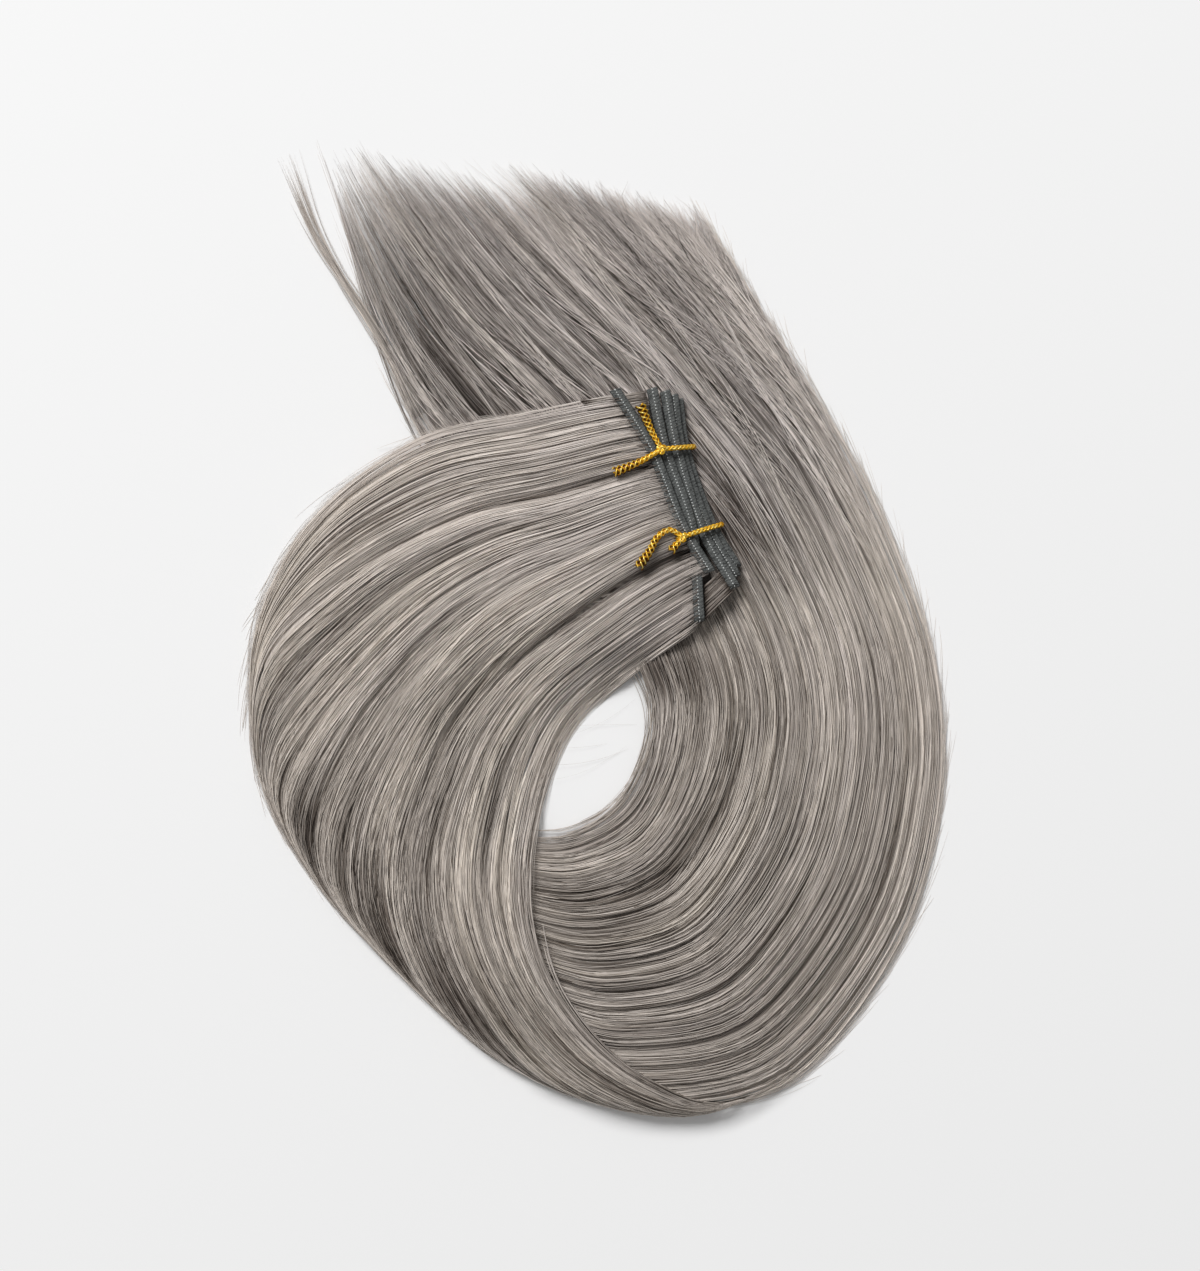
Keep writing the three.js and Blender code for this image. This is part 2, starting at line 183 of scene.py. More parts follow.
# The ties: a knot, a band from it round the tracks and back, and two tails.
CORD_SIDES = 10
THREADS = 6
Tie = namedtuple("Tie", "knot band tails")
TIES = {
    "upper_tie": Tie(
        knot=(20.1, 54.9, 16.5),
        band=[
            (23.6, 55.3, 15.4), (27.2, 55.7, 12.8), (29.0, 55.9, 10.9), (29.9, 56.0, 9.1), (28.7, 55.8, 7.5),
            (24.0, 54.8, 7.4), (17.5, 53.2, 7.6), (14.8, 51.8, 10.0), (14.6, 51.6, 13.8), (15.6, 52.2, 16.0),
        ],
        tails=[[(17.1, 60.3, 16.5), (13.8, 68.1, 15.6)], [(13.2, 51.0, 16.6), (6.0, 48.0, 15.8)]],
    ),
    "lower_tie": Tie(
        knot=(26.4, 28.8, 16.6),
        band=[
            (30.8, 30.4, 15.8), (35.0, 31.8, 12.9), (37.4, 32.5, 11.0), (38.2, 32.8, 9.2), (37.0, 32.4, 7.5),
            (31.5, 30.5, 7.4), (27.0, 28.9, 7.6), (25.0, 28.2, 10.0), (24.9, 28.2, 13.8), (25.3, 28.4, 16.2),
        ],
        tails=[
            [(22.5, 30.9, 17.2), (18.9, 28.8, 17.0), (16.8, 25.0, 16.8), (13.2, 19.8, 16.4)], [(22.8, 24.6, 16.8)],
        ],
    ),
}
KNOT_SIZE = 0.42 * MM
KNOT_TURN = np.linspace(0, 2 * np.pi, 80)
KNOT_LOOP = np.stack([
    np.sin(KNOT_TURN) + 1.6 * np.sin(2 * KNOT_TURN), np.cos(KNOT_TURN) - 1.6 * np.cos(2 * KNOT_TURN),
    -1.1 * np.sin(3 * KNOT_TURN)], axis=-1)


def length_property(name, description, millimetres):
    return FloatProperty(name=name, description=description, default=millimetres * MM, unit="LENGTH", precision=5)


def count_property(name, description, default):
    return IntProperty(name=name, description=description, default=default)


def colour_property(name, description, *default):
    return FloatVectorProperty(name=name, description=description, default=default, subtype="COLOR")


class WeftHair(bpy.types.PropertyGroup):
    """Sizes and colours of the hair."""

    strand_width: length_property("Strand width", "Width of one drawn strand", 0.28)
    lower_strands: count_property("Lower strands", "Strands of full length in the lower turn", 700)
    upper_strands: count_property("Upper strands", "Strands of full length in the upper turn", 820)
    short_strands: count_property("Short strands", "Strands that come up and go under again in each turn", 1400)
    tip_strands: count_property("Tip strands", "Extra strands that feather the cut ends", 2400)
    stray_strands: count_property("Stray strands", "Single hairs that stand off the coil", 220)
    # Painted shade in the gaps between locks, at the bottom of both hair ramps.
    gap_shade: colour_property("Deep", "Gaps between locks", 0.045, 0.034, 0.027)
    cool_light: colour_property("Cool light", "Lit ash grey", 0.80, 0.735, 0.705)
    cool_dark: colour_property("Cool dark", "Deep mauve grey", 0.158, 0.13, 0.117)
    warm_light: colour_property("Warm light", "Lit beige grey", 0.87, 0.79, 0.69)
    warm_dark: colour_property("Warm dark", "Deep taupe", 0.188, 0.148, 0.114)


class WeftTrack(bpy.types.PropertyGroup):
    """Sizes and colours of the sewn tracks."""

    width: length_property("Width", "Width of the strip", 3.4)
    thickness: length_property("Thickness", "Thickness of the strip", 1.0)
    stitch_pitch: length_property("Stitch pitch", "Length of one stitch", 0.95)
    light: colour_property("Light thread", "Lit side of the thread", 0.15, 0.158, 0.153)
    # Painted shade in the grooves between threads; also the colour of the overlock thread.
    dark: colour_property("Dark thread", "Grooves between threads", 0.012, 0.013, 0.013)
    stitch: colour_property("Stitch", "Seam thread", 0.78, 0.80, 0.79)


class WeftTie(bpy.types.PropertyGroup):
    """Sizes and colours of the gold ties."""

    cord_radius: length_property("Cord radius", "Radius of the stretched cord", 0.7)
    end_radius: length_property("End radius", "Radius of the loosened ends", 1.45)
    # Painted glints: the brightest stop of the metal, laid on at random spots.
    painted_glint: colour_property("Glint", "Brightest spots of the metal", 1.0, 0.80, 0.22)
    bright: colour_property("Bright gold", "Lit metal thread", 1.0, 0.60, 0.03)
    gold: colour_property("Gold", "Metal thread turned from the light", 0.74, 0.36, 0.01)
    brown: colour_property("Brown", "Core between the metal threads", 0.10, 0.035, 0.006)


class WeftStage(bpy.types.PropertyGroup):
    """The floor, the light and the camera."""

    lens: FloatProperty(name="Lens", description="Focal length of the camera", default=100.0, unit="CAMERA")
    sensor: FloatProperty(name="Sensor", description="Long side of the camera's sensor", default=36.0, unit="CAMERA")
    floor: colour_property("Floor", "Colour of the floor", 0.92, 0.92, 0.92)
    key_power: FloatProperty(
        name="Key light", description="Power of the soft light from the upper left", default=225.0, unit="POWER")
    sky: FloatProperty(name="Room light", description="Strength of the even light from all round", default=0.3)


class Wire:
    """One value in a material. Arithmetic on it adds the nodes."""

    def __init__(self, paint, socket):
        self.paint = paint
        self.socket = socket

    def math(self, operation, *values):
        return self.paint.add("ShaderNodeMath", {"operation": operation}, dict(enumerate(values)))

    def __add__(self, other):
        return self.math("ADD", self, other)

    def __mul__(self, other):
        return self.math("MULTIPLY", self, other)

    def __sub__(self, other):
        return self.math("SUBTRACT", self, other)

    def __rsub__(self, other):
        return self.math("SUBTRACT", other, self)

    __radd__ = __add__
    __rmul__ = __mul__


class Paint:
    """A material and the nodes it is mixed from."""

    def __init__(self, name):
        self.material = bpy.data.materials.new(name)
        self.material.use_nodes = True
        self.tree = self.material.node_tree
        self.tree.nodes.clear()

    def add(self, kind, settings=None, inputs=None, output=0):
        node = self.tree.nodes.new(kind)
        for key, value in (settings or {}).items():
            if key == "stops":
                ramp = node.color_ramp.elements
                while len(ramp) < len(value):
                    ramp.new(0.5)
                for element, (position, colour) in zip(ramp, value):
                    element.position = position
                    element.color = (*colour, 1.0)
            else:
                setattr(node, key, value)
        for key, value in (inputs or {}).items():
            socket = node.inputs[key]
            if isinstance(value, Wire):
                self.tree.links.new(value.socket, socket)
            elif hasattr(value, "__len__") and socket.type == "RGBA":
                socket.default_value = (*value, 1.0)
            else:
                socket.default_value = value
        return Wire(self, node.outputs[output]) if node.outputs else None

    def attribute(self, name):
        return self.add("ShaderNodeAttribute", {"attribute_name": name}, output="Fac")

    def ramp(self, value, stops):
        return self.add("ShaderNodeValToRGB", {"stops": stops}, {"Fac": value}, "Color")

    def mix(self, factor, first, second):
        return self.add("ShaderNodeMix", {"data_type": "RGBA"}, {0: factor, 6: first, 7: second}, 2)

    def bump(self, strength, distance, height):
        return self.add("ShaderNodeBump", None, {"Strength": strength, "Distance": distance, "Height": height})

    def grain(self, scale, detail):
        """Noise that is the same in all directions."""
        place = self.add("ShaderNodeTexCoord", output="Object")
        return self.add("ShaderNodeTexNoise", None, {"Vector": place, "Scale": scale, "Detail": detail})

    def streaks(self, across, along, detail=2.0):
        """Noise drawn out along the piece's own map: so many streaks across and along it."""
        uv = self.add("ShaderNodeUVMap", {"uv_map": "OFBake"})
        drawn = self.add("ShaderNodeMapping", None, {"Vector": uv, "Scale": (across, along, 1.0)})
        return self.add("ShaderNodeTexNoise", None, {"Vector": drawn, "Scale": 1.0, "Detail": detail})

    def finish(self, **inputs):
        surface = self.add("ShaderNodeBsdfPrincipled", None, {k.replace("_", " "): v for k, v in inputs.items()})
        self.add("ShaderNodeOutputMaterial", None, {"Surface": surface})
        return self.material


class Band:
    """A flow of hair through a row of sections, from its roots to its tips."""

    def __init__(self, sections):
        rows = np.array(list(sections.values())) * MM
        self.rows = np.vstack([2 * rows[0] - rows[1], rows, 2 * rows[-1] - rows[-2]])
        self.spans = len(sections) - 1

    def on_row(self, row, across):
        x1, y1, x2, y2, inner_top, crown, outer_top = np.moveaxis(self.rows[row], -1, 0)
        edge = np.where(across < 0.5, inner_top, outer_top)
        height = edge + (crown - edge) * (1 - np.abs(2 * across - 1) ** 3)
        return np.stack([x1 + (x2 - x1) * across, y1 + (y2 - y1) * across, height], axis=-1)

    def place(self, across, along):
        across, along = np.broadcast_arrays(across, along)
        turn = along * self.spans
        first = np.clip(np.floor(turn).astype(int), 0, self.spans - 1)
        f = (turn - first)[..., None]
        a, b, c, d = (self.on_row(first + k, across) for k in range(4))
        return 0.5 * (2 * b + (c - a) * f + (2 * a - 5 * b + 4 * c - d) * f ** 2 + (3 * b - a - 3 * c + d) * f ** 3)


class Clumps:
    """Neighbouring strands that cling together, each clump with a shade and a warmth of its own."""

    def __init__(self, rng, number):
        cuts = np.sort(rng.uniform(0, 1, number - 1))
        self.edges = np.concatenate([[-0.06], cuts, [1.06]])
        self.centre = (self.edges[:-1] + self.edges[1:]) / 2
        self.half = np.diff(self.edges) / 2
        self.pull = rng.uniform(0.05, 0.55, number)
        self.shade = rng.normal(0, 1, number)
        self.warmth = rng.normal(0, 1, number)
        self.speed = rng.uniform(0.8, 2.2, (number, 3))
        self.phase = rng.uniform(0, 2 * np.pi, (number, 3))

    def of(self, across):
        return np.clip(np.searchsorted(self.edges, across) - 1, 0, len(self.centre) - 1)

    def wave(self, clump, along, which):
        return np.sin(2 * np.pi * self.speed[clump, which][:, None] * along + self.phase[clump, which][:, None])


class Tone:
    """A slow change of tone over a band, from a small table of seeded values."""

    def __init__(self, rng, across, along):
        self.table = rng.normal(0, 1, (across + 2, along + 2))
        self.size = np.array([across, along])

    def at(self, across, along):
        spot = np.stack(np.broadcast_arrays(across, along)) * self.size[:, None, None]
        spot = np.clip(spot, 0, self.size[:, None, None])
        cell = np.floor(spot).astype(int)
        share = spot - cell
        i, j = cell
        f, g = share * share * (3 - 2 * share)
        near = self.table[i, j] * (1 - f) + self.table[i + 1, j] * f
        far = self.table[i, j + 1] * (1 - f) + self.table[i + 1, j + 1] * f
        return near * (1 - g) + far * g


def smooth(low, high, value):
    share = np.clip((value - low) / (high - low), 0, 1)
    return share * share * (3 - 2 * share)


def wander(rng, count, along, waves, size):
    """Slow drift, one smooth line for each strand, of about the given size."""
    total = np.zeros_like(along)
    for wave in waves:
        phase = rng.uniform(0, 2 * np.pi, (count, 1))
        total += rng.normal(0, 1, (count, 1)) * np.sin(2 * np.pi * wave * along + phase)
    return size * total / len(waves) ** 0.5


def lock_partings(rng, number):
    """Valleys between locks that come and go along a band, steep on one side."""
    rows = []
    for k in range(number):
        begin = rng.uniform(-0.05, 0.7)
        widths = rng.permutation([rng.uniform(0.002, 0.005), rng.uniform(0.01, 0.03)])
        place = (k + rng.uniform(0.1, 0.9)) / number
        rows.append((place, 0.0, begin, begin + rng.uniform(0.25, 0.5), 0.002, rng.uniform(0.8, 2.2), *widths))
    return rows


def part(partings, across, along):
    """How far strands are pushed aside and down by the partings."""
    aside = np.zeros_like(along)
    down = np.zeros_like(along)
    for place, drift, begin, end, gap, depth, left, right in partings:
        share = (along - begin) / (end - begin)
        off = across - place - drift * (share - 0.5)
        opened = smooth(0, 0.22, share) * (1 - smooth(0.4, 1, share))
        apart = opened * (1 - smooth(0.35, 0.8, share))
        aside += np.tanh(off / 0.008) * gap * apart * np.exp(-np.abs(off) / 0.05)
        down += depth * MM * opened * np.exp(-np.abs(off) / np.where(off < 0, left, right))
    return aside, down


# Where a lane of the upper band turns under its outer edge, and how sharply it bends towards it. Lanes fan out from
# FAN_START along the band to FAN_EDGE across it, and bend in the last part of the width, from OUTER_LANE on.
FAN_START, FAN_EDGE = 0.08, 1.06
OUTER_LANE, OUTER_ROOM = 0.84, 0.16
TURN_LANE = [0, 0.15, 0.3, 0.5, 0.675, 0.85, 1.0]
TURN_ALONG = [1.4, 0.96, 0.77, 0.6, 0.465, 0.42, 0.39]
TURN_BEND = [4.0, 4.0, 4.0, 3.2, 2.6, 2.2, 2.0]


def near_edge(across):
    """Strands bend to run beside the outer edge before they reach it."""
    bent = OUTER_LANE + OUTER_ROOM * np.tanh((across - OUTER_LANE) / OUTER_ROOM)
    return np.where(across > OUTER_LANE, bent, across)


def fan_out(across, along):
    """The upper locks swing outwards as they leave the head, and turn under the outer edge one by one."""
    whole = np.interp(across, TURN_LANE, TURN_ALONG) - FAN_START
    share = np.clip((along - FAN_START) / whole, 0, 1.2) ** np.interp(across, TURN_LANE, TURN_BEND)
    narrow = smooth(0.09, 0.24, along) * (1 - 0.4 * smooth(0.3, 0.42, along))
    swung = across + (FAN_EDGE - across) * share - 0.045 * np.exp(-((across - 0.28) / 0.16) ** 2) * narrow
    return across + near_edge(swung) - near_edge(across)


def sweep_in(across, along):
    """The lower locks spread to the outside, and the tail is swept back to the inside."""
    power = 1 - 0.12 * smooth(0.34, 0.64, along) + 1.06 * np.clip((along - 0.75) / 0.25, 0, 1.045) ** 3
    power = power + 0.55 * smooth(0.66, 0.8, along) * np.exp(-np.abs(across) / 0.09)
    return np.sign(across) * np.abs(across) ** power


def eye_rim(along):
    """How far the inner edge of the upper band is pressed flat, beside the eye of the coil."""
    return 0.65 * smooth(0.09, 0.16, along) * (1 - smooth(0.44, 0.55, along))


def flat_rim(along):
    """The inner edge of the lower band is not pressed at all."""
    return 0 * along


class Style:
    """How one turn of hair is combed: its band, locks, clumps and tones. cool_tail is 1 where the turn ends in tips."""

    def __init__(self, sections, partings, light_and_shade_patches, spread, rim, cool_tail, seed):
        self.rng = np.random.default_rng(seed)
        self.band = Band(sections)
        self.light_and_shade_patches = light_and_shade_patches
        self.spread = spread
        self.rim = rim
        self.cool_tail = cool_tail
        self.partings = partings + lock_partings(self.rng, LOCKS)
        self.clumps = Clumps(self.rng, CLUMPS)
        self.shade, self.streak, self.lock, self.warmth = [Tone(self.rng, *cells) for cells in TONE_CELLS]

    def lay(self, lane, along, give=0.4):
        """Places on the combed surface, and how deep the valleys are there. give is how far hair parts."""
        aside, down = part(self.partings, lane, along)
        across = self.spread(lane + give * aside, along)
        under = np.maximum(across - 1, 0)
        places = self.band.place(across - 1.6 * under, along)
        places[..., 2] = (places[..., 2] - down) * (1 - 0.85 * smooth(0, 0.05, under))
        places[..., 2] *= 1 - self.rim(along) * (1 - smooth(-0.02, 0.13, across))
        return places, down

    def lane_at(self, across, along):
        """Lanes that lie at these places across the band, one row of places at one place along it."""
        lanes = np.linspace(-0.05, 1.15, 200)
        return np.interp(across, self.spread(lanes, along), lanes)

    def short_lanes(self, start, end, first):
        """Lanes for short strands that cover the band evenly, wherever their middles lie along it."""
        middle = (start + end) / 2
        across = self.rng.uniform(first, 0.985, len(start)) + self.rng.normal(0, 0.01, len(start))
        return np.array([self.lane_at(*spot) for spot in zip(across, middle)])

    def tone(self, lane, along, down):
        """Shade and warmth of the hair, 0 the deepest and coolest, 1 the palest and warmest: the hair's own tone with
        painted light and shade laid over it.
        """
        tail = self.cool_tail * smooth(0.6, 0.76, along)
        head = 1 - self.cool_tail
        streak = self.streak.at(lane, along)
        across = self.spread(lane, along)
        uneven = 0.12 - 0.05 * self.cool_tail - 0.02 * tail
        # Painted shade: the valleys of the partings are darker the deeper they are.
        shade = MIDDLE_SHADE + uneven * self.shade.at(lane, along) - 60 * down - 12000 * down ** 2
        shade = shade - 0.3 * tail + 0.13 * self.cool_tail * smooth(0.91, 1.0, along)
        shade = shade + (0.08 + 0.08 * tail) * streak
        # Painted shade on the locks where they tuck under the outer edge, in crescents that change from lock to lock.
        tuck_shade = smooth(0.35, 0.9, across) * smooth(0.43, 0.55, along) * (1 - smooth(0.68, 0.8, along))
        tuck_shade = tuck_shade * (1 - 0.7 * smooth(0.9, 1.0, across))
        shade = shade - 0.56 * head * tuck_shade * np.clip(0.5 + 0.7 * self.lock.at(lane, along), 0, 1.4)
        # Painted light at the outer edge, which lifts the shade where strands dive under it, more so in the tail.
        edge = smooth(0.88, 1.0, across) * (1 - 0.5 * head * smooth(0.4, 0.5, along))
        shade = shade + (0.17 + 0.16 * tail) * edge
        # Painted light and shade in patches, streaked along the hair.
        for middle, place, length, width, amount in self.light_and_shade_patches:
            off = ((along - middle) / length) ** 2 + ((across - place) / width) ** 2
            shade = shade + amount * np.exp(-off) * (1 + 0.5 * streak)
        warmth = MIDDLE_WARMTH + 0.09 * self.warmth.at(lane, along) - 0.35 * tail
        return shade, warmth - 0.2 * head * (1 - smooth(0.1, 0.35, along))


def comb(style, across, start, end, shares, depth, sink=0.0, cross=0.0, bundles=0, flick=0.0):
    """Strands combed along a band: their paths, shades and warmth."""
    rng, clumps = style.rng, style.clumps
    count = len(across)
    along = start[:, None] + (end - start)[:, None] * shares
    clump = clumps.of(across)
    spot = np.clip((across - clumps.centre[clump]) / clumps.half[clump], -1, 1)[:, None]
    loosen = 1 - smooth(0.8, 0.97, along)
    pull = clumps.pull[clump][:, None] * (0.6 + 0.4 * clumps.wave(clump, along, 0)) * loosen
    lane = across[:, None] + (clumps.centre[clump] - across)[:, None] * pull + cross * shares
    if bundles:
        bundle = (np.floor(across * bundles) + 0.5) / bundles
        lane = lane + (bundle - across)[:, None] * 0.95 * np.exp(-(along - start[:, None]) / 0.018)
    lane = lane + 0.004 * clumps.wave(clump, along, 1) + wander(rng, count, along, (1.3, 3), 0.006)
    lane = lane + rng.normal(0, 0.03, (count, 1)) * np.clip((along - 0.84) / 0.16, 0, 1.2) ** 2 * style.cool_tail
    lane = lane + rng.normal(0, flick, (count, 1)) * np.clip(shares - 0.7, 0, 1) ** 2 / 0.09
    path, down = style.lay(lane, along, rng.uniform(0.35, 1.0, (count, 1)))
    ridge = 0.4 * MM * (1 - spot ** 2) * (0.5 + 0.5 * clumps.wave(clump, along, 2))
    ends = np.minimum(smooth(0, 0.14, shares), smooth(0, 0.14, 1 - shares))
    path[..., 2] += ridge - depth[:, None] - sink * (1 - ends) + wander(rng, count, along, (4, 9), 0.15 * MM)
    path[..., 2] = np.maximum(path[..., 2], NEAR_FLOOR)
    shade, warmth = style.tone(lane, along, down)
    single = rng.normal(0.045, 0.155, count) - 0.32 * (rng.uniform(0, 1, count) < 0.14)
    calm = (1 - style.cool_tail) * smooth(0.6, 0.8, across)[:, None] * (1 - smooth(0.2, 0.36, along))
    shade = shade + 0.055 * clumps.shade[clump][:, None] + single[:, None] * (1 - 0.45 * calm)
    shade = shade + 0.05 * clumps.wave(clump, along, 2)
    warmth = warmth + (0.05 * clumps.warmth[clump] + rng.normal(0, 0.06, count))[:, None]
    return path, np.clip(shade, 0, 1), np.clip(warmth, 0, 1)


def add_piece(name, mesh, finish, slot=None, *nodes):
    """A finished mesh as a piece with its finish, hung on the root body when a slot is given, and hiding the solids
    that it stands for.
    """
    mesh.shade_smooth()
    mesh.materials.append(finish)
    piece = bpy.data.objects.new(name, mesh)
    bpy.context.scene.collection.objects.link(piece)
    if slot:
        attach(piece, "root")
    if nodes:
        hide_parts(*nodes)
    return piece


def strand_piece(name, path, radius, shade, warmth, finish, slot):
    """One piece of closed three-sided strands, each with its own column of the map."""
    count, steps, _ = path.shape
    heading = np.gradient(path, axis=1)
    heading /= np.linalg.norm(heading, axis=-1, keepdims=True) + 1e-12
    side = np.cross(heading, UP)
    side /= np.linalg.norm(side, axis=-1, keepdims=True) + 1e-12
    over = np.cross(side, heading)
    turns = np.radians([90, 210, 330])[:, None]
    ring = np.cos(turns) * side[:, :, None] + np.sin(turns) * over[:, :, None]
    places = path[:, :, None] + radius[:, :, None, None] * ring
    index = np.arange(count * steps * 3).reshape(count, steps, 3)
    after = np.roll(index, -1, axis=2)
    quads = np.stack([index[:, :-1], index[:, 1:], after[:, 1:], after[:, :-1]], axis=-1).reshape(-1, 4)
    roots = index[:, 0, :]
    tips = index[:, -1, ::-1]
    mesh = bpy.data.meshes.new(name)
    mesh.from_pydata(places.reshape(-1, 3).tolist(), [], quads.tolist() + roots.tolist() + tips.tolist())
    column = (np.arange(count)[:, None, None] + np.zeros((1, steps - 1, 1)) + np.arange(3)[None, None, :] / 3) / count
    low = np.broadcast_to((np.arange(steps - 1) / (steps - 1))[None, :, None], column.shape)
    high = low + 1 / (steps - 1)
    u = np.stack([column, column, column + 1 / (3 * count), column + 1 / (3 * count)], axis=-1)
    v = np.stack([low, high, high, low], axis=-1)
    caps = np.repeat((np.arange(count) + 0.5) / count, 3)
    flat_u = np.concatenate([u.ravel(), caps, caps])
    flat_v = np.concatenate([v.ravel(), np.zeros(3 * count), np.ones(3 * count)])
    mesh.uv_layers.new(name="OFBake").data.foreach_set("uv", np.stack([flat_u, flat_v], axis=-1).ravel())
    for label, values in (("shade", shade), ("warmth", warmth)):
        layer = mesh.attributes.new(label, "FLOAT", "POINT")
        spread = np.broadcast_to(values, (count, steps)).ravel()
        layer.data.foreach_set("value", np.repeat(spread, 3).astype(np.float32))
    add_piece(name, mesh, finish, slot)


def taper(rng, count, shares, width, root, tip):
    """Radius along each strand: thin at the root and drawn out to the tip."""
    body = rng.uniform(0.55, 1.3, (count, 1)) * width / 2
    return body * (root + (1 - root) * smooth(0, 0.1, shares)) * (1 - (1 - tip) * smooth(0.8, 1.0, shares))


def sheet_bmesh(columns, rows):
    """A flat sheet of faces with its place in the map, ready to be bent into shape."""
    bm = bmesh.new()
    uv = bm.loops.layers.uv.new("OFBake")
    bmesh.ops.create_grid(bm, x_segments=columns, y_segments=rows, size=0.5)
    for face in bm.faces:
        for loop in face.loops:
            loop[uv].uv = (loop.vert.co.x + 0.5, loop.vert.co.y + 0.5)
    return bm


def bend(bm, shape, *labels):
    """Moves each point of a flat sheet to shape(u, v), which also gives its values for the labels."""
    layers = [bm.verts.layers.float.new(label) for label in labels]
    spots = np.array([v.co[:2] for v in bm.verts]) + 0.5
    for vert, place, values in zip(bm.verts, *shape(spots[:, 0], spots[:, 1])):
        vert.co = place
        for layer, value in zip(layers, values):
            vert[layer] = value


def tube_bmesh(line, sides, label, shape):
    """A closed tube along a line. shape(row, turn) gives the places round each row and a value for the label."""
    bm = sheet_bmesh(len(line) - 1, sides)

    def roll(u, v):
        row = np.rint(u * (len(line) - 1)).astype(int)
        places, values = shape(row, 2 * np.pi * (np.rint(v * sides) % sides) / sides)
        return places, values[:, None]

    bend(bm, roll, label)
    bmesh.ops.remove_doubles(bm, verts=bm.verts[:], dist=1e-7)
    bmesh.ops.holes_fill(bm, edges=[e for e in bm.edges if e.is_boundary], sides=0)
    bmesh.ops.recalc_face_normals(bm, faces=bm.faces[:])
    return bm


def to_mesh(name, *parts):
    """Puts one or more shapes into one mesh."""
    whole = bmesh.new()
    mesh = bpy.data.meshes.new(name)
    for bm in parts:
        bm.to_mesh(mesh)
        bm.free()
        whole.from_mesh(mesh)
    whole.to_mesh(mesh)
    whole.free()
    return mesh


def blend(first, second, low, high, at):
    return ((high - at) * first + (at - low) * second) / (high - low)


def through(points, step):
    """Evenly spaced places on a smooth line through points in millimetres."""
    p = np.array(points, float) * MM
    p = np.vstack([2 * p[0] - p[1], p, 2 * p[-1] - p[-2]])
    t = np.concatenate([[0], np.cumsum(np.linalg.norm(np.diff(p, axis=0), axis=1) ** 0.5)])
    fine = []
    for i in range(1, len(p) - 2):
        at = np.linspace(t[i], t[i + 1], 40, endpoint=False)[:, None]
        a = [blend(p[k], p[k + 1], t[k], t[k + 1], at) for k in (i - 1, i, i + 1)]
        b = [blend(a[k], a[k + 1], t[i + k - 1], t[i + k + 1], at) for k in (0, 1)]
        fine.append(blend(*b, t[i], t[i + 1], at))
    fine = np.vstack([*fine, p[-2:-1]])
    length = np.concatenate([[0], np.cumsum(np.linalg.norm(np.diff(fine, axis=0), axis=1))])
    even = np.linspace(0, length[-1], max(2, int(round(length[-1] / step)) + 1))
    return np.stack([np.interp(even, length, fine[:, k]) for k in range(3)], axis=-1)


def headings(places):
    heading = np.gradient(places, axis=0)
    return heading / np.linalg.norm(heading, axis=-1, keepdims=True)


def hair_colour(paint, shade, warmth):
    hair = bpy.context.scene.weft_hair
    cool = paint.ramp(shade, [(0.0, hair.gap_shade), (0.16, hair.cool_dark), (1.0, hair.cool_light)])
    warm = paint.ramp(shade, [(0.0, hair.gap_shade), (0.16, hair.warm_dark), (1.0, hair.warm_light)])
    return paint.mix(warmth, cool, warm)


def strand_material():
    paint = Paint("hair_strands")
    fleck = paint.streaks(300.0, 7.0)
    shade = paint.attribute("shade") + (fleck - 0.5) * 0.2
    colour = hair_colour(paint, shade, paint.attribute("warmth"))
    return paint.finish(Base_Color=colour, Roughness=0.6 - shade * 0.2, Specular_IOR_Level=0.4)


def mass_material():
    paint = Paint("hair_mass")
    fine = paint.streaks(420.0, 7.0, 3.0)
    coarse = paint.streaks(110.0, 3.0)
    # Painted shade: the sheet under the strands is deeper than the strands, so that the gaps between them read dark.
    shade = paint.attribute("shade") - 0.12 + (fine - 0.5) * 0.9 + (coarse - 0.5) * 0.5
    colour = hair_colour(paint, shade, paint.attribute("warmth"))
    return paint.finish(Base_Color=colour, Roughness=0.6, Normal=paint.bump(0.7, 0.4 * MM, fine + coarse))


def track_material():
    track = bpy.context.scene.weft_track
    paint = Paint("track_thread")
    weave = paint.grain(2400.0, 3.0)
    # The thread's colour follows the painted light and shade of its ridges and grooves, with grain and streaks of its
    # own.
    wrap = paint.attribute("groove") + (paint.streaks(160.0, 6.0) - 0.5) * 0.3 + (weave - 0.5) * 0.9
    colour = paint.ramp(wrap, [(0.1, track.dark), (0.85, track.light)])
    bump = paint.bump(0.6, 0.15 * MM, weave)
    return paint.finish(Base_Color=colour, Roughness=0.8, Specular_IOR_Level=0.2, Normal=bump)


def stitch_material():
    track = bpy.context.scene.weft_track
    paint = Paint("stitch_thread")
    colour = paint.ramp(paint.attribute("shade"), [(0.0, track.dark), (1.0, track.stitch)])
    return paint.finish(Base_Color=colour, Roughness=0.5)


def gold_material():
    tie = bpy.context.scene.weft_tie
    paint = Paint("gold_thread")
    painted_glint = paint.grain(900.0, 2.0)
    # Painted light on the metal: its ramp runs from the brown core through gold turned from the light and lit gold to
    # painted glints at random spots.
    level = paint.attribute("shade") + (painted_glint - 0.5) * 0.8
    colour = paint.ramp(level, [(0.1, tie.brown), (0.4, tie.gold), (0.7, tie.bright), (1.0, tie.painted_glint)])
    bump = paint.bump(0.5, 0.1 * MM, painted_glint)
    return paint.finish(Base_Color=colour, Metallic=0.55, Roughness=0.3, Specular_IOR_Level=0.25, Normal=bump)


def floor_material():
    stage = bpy.context.scene.weft_stage
    return Paint("floor_board").finish(Base_Color=(*stage.floor,), Roughness=0.8, Specular_IOR_Level=0.1)


def material(name, maker):
    return bpy.data.materials.get(name) or maker()


